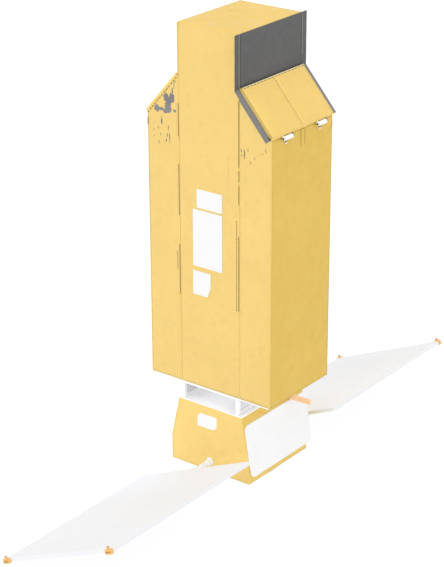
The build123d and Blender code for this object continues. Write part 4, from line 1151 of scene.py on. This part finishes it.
# White screws along the plates, the hatch and the radiators
FRONT = (0, -1, 0)
PLATE_NOTCH_WIDTH, PLATE_NOTCH_HEIGHT = 0.044, 0.132
HATCH = ((-0.190, 0.677), (0.057, 0.677), (0.105, 0.725), (0.105, 0.857), (-0.142, 0.857), (-0.190, 0.809))
white_screws = []
for low_x, high_x, low_z, high_z in PLATES:
    corners = [(low_x, low_z), (high_x, low_z), (high_x, high_z), (low_x, high_z)]
    if high_x < 0.1:
        corners[1:2] = [(high_x - PLATE_NOTCH_WIDTH, low_z), (high_x, low_z + PLATE_NOTCH_HEIGHT)]
    white_screws += inset_ring([(x, -HALF_DEPTH - FRONT_PLATE, z) for x, z in corners], FRONT, 0.013, 0.115)
white_screws += inset_ring([(x, -HALF_DEPTH - HATCH_FACE, z) for x, z in HATCH], FRONT, 0.012, 0.080)
for side, hand in SIDES:
    top, foot = at_side(hand, RADIATOR_TOP), at_side(hand, RADIATOR_FOOT)
    out = Vector((hand * (top.z - foot.z), 0, abs(foot.x - top.x))).normalized()
    cut = (foot - top).normalized() * RADIATOR_CUT
    far = Vector((0, hand * RADIATOR_LENGTHS[side] / 2, 0))
    nearly = Vector((0, hand * (RADIATOR_LENGTHS[side] / 2 - RADIATOR_CUT), 0))
    outline = (foot - nearly, foot + nearly, foot + far - cut, top + far + cut,
               top + nearly, top - nearly, top - far + cut, foot - far - cut)
    white_screws += inset_ring(outline, out, 0.016, 0.150)
scatter("plate_screws", socket_head, white_paint, 0.0030, white_screws, SCREW_SPIN, 7)

# Steel screws on the interface frame and the wing drives, bolts round the ring's upper flange
POST_SCREWS_X, POST_SCREWS_Y, POST_FACE = (0.400, 0.418), (0.570, 0.588), 0.430
FOOT_LEVEL, HEAD_LEVEL = DECK_TOP + 0.018, BASE_PLATE_LOW - 0.028
DRIVE_SCREWS, DRIVE_CIRCLE, DRIVE_FACE = 8, 0.0435, 0.614
RING_BOLTS, RING_BOLT_CIRCLE, UPPER_FLANGE = 60, 0.4945, 0.088
steel_screws = []
for door, side, hand, across in DOORS:
    steel_screws += [((hand * x, across * HALF_DEPTH, z), (0, across, 0))
                     for z in (FOOT_LEVEL, HEAD_LEVEL) for x in POST_SCREWS_X]
    steel_screws += [((hand * POST_FACE, across * y, FOOT_LEVEL), (hand, 0, 0)) for y in POST_SCREWS_Y]
for row, across in ROWS:
    steel_screws += [((DRIVE_CIRCLE * x, across * DRIVE_FACE, WING_AXIS_Z + DRIVE_CIRCLE * z), (0, across, 0))
                     for x, z in circle(DRIVE_SCREWS, 0.5)]
bolts = [((RING_BOLT_CIRCLE * x, RING_BOLT_CIRCLE * y, UPPER_FLANGE), (0, 0, -1))
         for x, y in circle(RING_BOLTS)]
scatter("frame_screws", socket_head, steel, 0.0026, steel_screws, SCREW_SPIN, 11)
scatter("ring_flange_bolts", socket_head, steel, 0.0045, bolts, SCREW_SPIN, 13)

# Rivets round the shade and along its rails, screws on the cover strips
RIVETS_HALF, RIVETS_IN, RIVETS_UP = 0.560, 0.022, 0.040
low, high = bead_low + RIVETS_UP, TOWER_TOP - RIVETS_IN
shade_rivets = []
for k in range(12):
    y = -RIVETS_HALF + 2 * RIVETS_HALF * k / 11
    shade_rivets += [((SHADE_FACE, y, z), (1, 0, 0)) for z in (high, low)]
shade_rivets += [((SHADE_FACE, y, low + (high - low) * k / 6), (1, 0, 0))
                 for k in range(1, 6) for y in (-RIVETS_HALF, RIVETS_HALF)]
shade_rivets += [(slope_point(1, 0.070 + 0.125 * k, across * RAIL_MIDDLE, 0), out_of_slope(1))
                 for row, across in ROWS for k in range(6)]
scatter("shade_rivets", flat_button, rail_film, 0.0045, shade_rivets, 0.5, 17)
strip_screws = [((hand * STRIP_FACE, y, z), (hand, 0, 0)) for side, hand in SIDES for y in (-0.026, 0.026)
                for z in (4.384, 4.428, 4.472, 4.516)]
scatter("cover_strip_screws", socket_head, side_tape, 0.0024, strip_screws, SCREW_SPIN, 19)


# Wings: cells on the sunward face, screws on the yokes, potted inserts along the white back

CELL_COLUMNS, CELL_ROWS, CELL_PITCH, CELL_GAP = 21, 57, (0.0805, 0.0423), 0.0020
YOKE_FACE, YOKE_SCREWS_Y, YOKE_SCREWS_X = 0.017, 0.883, (-0.110, -0.070, -0.030, 0.030, 0.070, 0.110)
INSERT_ROWS, INSERT_INSET, INSERTS_X = 9, 0.040, (-0.850, -0.285, 0.285, 0.850)
wing_up = Vector((-math.sin(WING_CANT), 0, math.cos(WING_CANT)))


def wing_point(chord, y, rise):
    """A point of the wings, from its distances along the chord, out from the middle and off the plane."""
    across_wing = Vector((math.cos(WING_CANT), 0, math.sin(WING_CANT)))
    return Vector((0, y, WING_AXIS_Z)) + across_wing * chord + wing_up * rise


for row, across in ROWS:
    body = row + "_wing"
    values = {"Field Width": CELL_PITCH[0] * (CELL_COLUMNS - 1),
              "Field Length": CELL_PITCH[1] * (CELL_ROWS - 1),
              "Columns": CELL_COLUMNS, "Rows": CELL_ROWS, "Cell Width": CELL_PITCH[0] - CELL_GAP,
              "Cell Length": CELL_PITCH[1] - CELL_GAP, "Crop": 0.0065, "Thickness": 0.0007,
              "Turn": (0.0, math.pi - WING_CANT, 0.0), "Finish": solar_cell.material,
              "Place": tuple(wing_point(0, across * (WING_INNER + WING_OUTER) / 2, -WING_HALF_THICK))}
    settle(body + "_cell_field", grown(body + "_cell_field", CELLS, values), [solar_cell], body)
    screws = [(wing_point(u, across * YOKE_SCREWS_Y, YOKE_FACE), wing_up) for u in YOKE_SCREWS_X]
    scatter(body + "_yoke_screws", socket_head, steel, 0.0028, screws, SCREW_SPIN, 23, body)
    depths = [WING_INNER + INSERT_INSET + k * (WING_OUTER - WING_INNER - 2 * INSERT_INSET) / (INSERT_ROWS - 1)
              for k in range(INSERT_ROWS)]
    inserts = [(wing_point(u, across * y, WING_HALF_THICK), wing_up) for y in depths for u in INSERTS_X]
    scatter(body + "_panel_inserts", flat_button, wing_composite[row], 0.0085, inserts, BUTTON_SPIN, 29, body)

# Light-tight vanes down the four bays
VANE_REACH, VANE_EDGE, VANE_ROOT, VANE_GAP = 0.022, 0.0004, 0.0015, 0.0004
VANES, VANE_LOW, VANE_PITCH = 10, 1.60, 0.30
half_x = (HALF_BODY - WALL - HALF_TOWER) / 2 - VANE_GAP
half_y = (HALF_DEPTH - WALL - HALF_DIVIDER) / 2 - VANE_GAP
bay_x, bay_y = (HALF_TOWER + HALF_BODY - WALL) / 2, (HALF_DIVIDER + HALF_DEPTH - WALL) / 2
vane = bmesh.new()
edges = ((0.0, -VANE_ROOT), (VANE_REACH, -VANE_EDGE), (VANE_REACH, VANE_EDGE), (0.0, VANE_ROOT))
join_rings(vane, [once_round(inset - half_x, half_x - inset, inset - half_y, half_y - inset,
                             lambda x, y: (x, y, level)) for inset, level in edges], True)
vane_places = [((hand * bay_x, across * bay_y, VANE_LOW + VANE_PITCH * k), (0, 0, 1))
               for door, side, hand, across in DOORS for k in range(VANES)]
scatter("bay_vanes", helper("vane_shape", vane), baffle_black, 1.0, vane_places)

for shape in copied_shapes:
    bpy.data.objects.remove(shape)

# Camera
CAMERA_AZIMUTH, CAMERA_ELEVATION, CAMERA_ROLL = map(math.radians, (37.495, 22.984, -0.200))
FOCAL, VIEW_HEIGHT, SENSOR_WIDTH = 1909.081, 567, 36.0
EYE_RIGHT, EYE_UP, EYE_BACK = -0.214, 1.094, 23.5755
back = Vector((math.sin(CAMERA_AZIMUTH) * math.cos(CAMERA_ELEVATION),
               -math.cos(CAMERA_AZIMUTH) * math.cos(CAMERA_ELEVATION), math.sin(CAMERA_ELEVATION)))
right = Vector((math.cos(CAMERA_AZIMUTH), math.sin(CAMERA_AZIMUTH), 0))
up = back.cross(right)
eye = right * EYE_RIGHT + up * EYE_UP + back * EYE_BACK + Vector((0, 0, BODY_BOTTOM))
level_right = right * math.cos(CAMERA_ROLL) + up * math.sin(CAMERA_ROLL)
level_up = up * math.cos(CAMERA_ROLL) - right * math.sin(CAMERA_ROLL)
lens = bpy.data.cameras.new("photo_camera")
lens.sensor_width = SENSOR_WIDTH
lens.lens = FOCAL * SENSOR_WIDTH / VIEW_HEIGHT
lens.clip_start, lens.clip_end = 1.0, 300.0
camera = in_scene("photo_camera", lens)
camera.matrix_world = Matrix.Translation(eye) @ Matrix((level_right, level_up, back)).transposed().to_4x4()
bpy.context.scene.camera = camera

# Floor that glows a little by itself, so that it stays white
FLOOR_Z, FLOOR_RADIUS, FLOOR_SHADE, FLOOR_GLOW = -0.175, 150.0, 0.14, 0.95
WHITE = (1.0, 1.0, 1.0, 1.0)
floor_finish = Finish("studio_floor", None, (FLOOR_SHADE,) * 3, 0.9, specular=0.0, Emission_Color=WHITE,
                      Emission_Strength=FLOOR_GLOW)
floor_finish.shade(0.98, floor_finish.noise(0.3, 2.0))
disc = bmesh.new()
bmesh.ops.create_circle(disc, cap_ends=True, segments=96, radius=FLOOR_RADIUS)
bmesh.ops.translate(disc, verts=disc.verts, vec=(0, 0, FLOOR_Z))
floor_mesh = bpy.data.meshes.new("studio_floor")
disc.to_mesh(floor_mesh)
floor_mesh.materials.append(floor_finish.material)
floor = in_scene("studio_floor", floor_mesh)

# Sky, a little brighter on the sun's side, and a weak soft sun
SKY_LEVEL, SKY_LOBE, SUN_LEVEL, SUN_WIDTH = 0.88, 0.40, 0.08, math.radians(25)
LIGHT_WAY = Vector((0.10, -0.50, 0.86)).normalized()
studio = bpy.data.worlds.new("studio")
studio.use_nodes = True
bpy.context.scene.world = studio
tree = studio.node_tree
sky = tree.nodes["Background"]
sky.inputs["Color"].default_value = WHITE
way = result(tree, "ShaderNodeTexCoord", output="Generated")
towards = result(tree, "ShaderNodeVectorMath", {0: way, 1: LIGHT_WAY}, "Value", operation="DOT_PRODUCT")
lobe = result(tree, "ShaderNodeMath", {0: towards, 1: 0.0}, operation="MAXIMUM")
total = result(tree, "ShaderNodeMath", {0: lobe, 1: SKY_LOBE, 2: SKY_LEVEL}, operation="MULTIPLY_ADD")
tree.links.new(total, sky.inputs["Strength"])
sun_light = bpy.data.lights.new("soft_key", "SUN")
sun_light.energy, sun_light.angle = SUN_LEVEL * math.pi, SUN_WIDTH
in_scene("soft_key", sun_light).matrix_world = LIGHT_WAY.to_track_quat("Z", "Y").to_matrix().to_4x4()

# Soft panels of light under the telescope, over the deck and over each leaning side, unseen by the camera
FILL_DEPTH, FILL_DROP = 1.00, 0.020
for name, x, width, energy in (("deck_fill", 0.0, 0.70, 0.85), ("left_fill", -0.68, 0.36, 0.5),
                               ("right_fill", 0.68, 0.36, 0.5)):
    panel_light = bpy.data.lights.new(name, "AREA")
    panel_light.shape = "RECTANGLE"
    panel_light.size, panel_light.size_y, panel_light.energy = width, FILL_DEPTH, energy
    fill = in_scene(name, panel_light)
    fill.location = (x, 0, BASE_PLATE_LOW - FILL_DROP)
    fill.visible_camera = fill.visible_glossy = False
bpy.context.scene.view_settings.view_transform = "Standard"
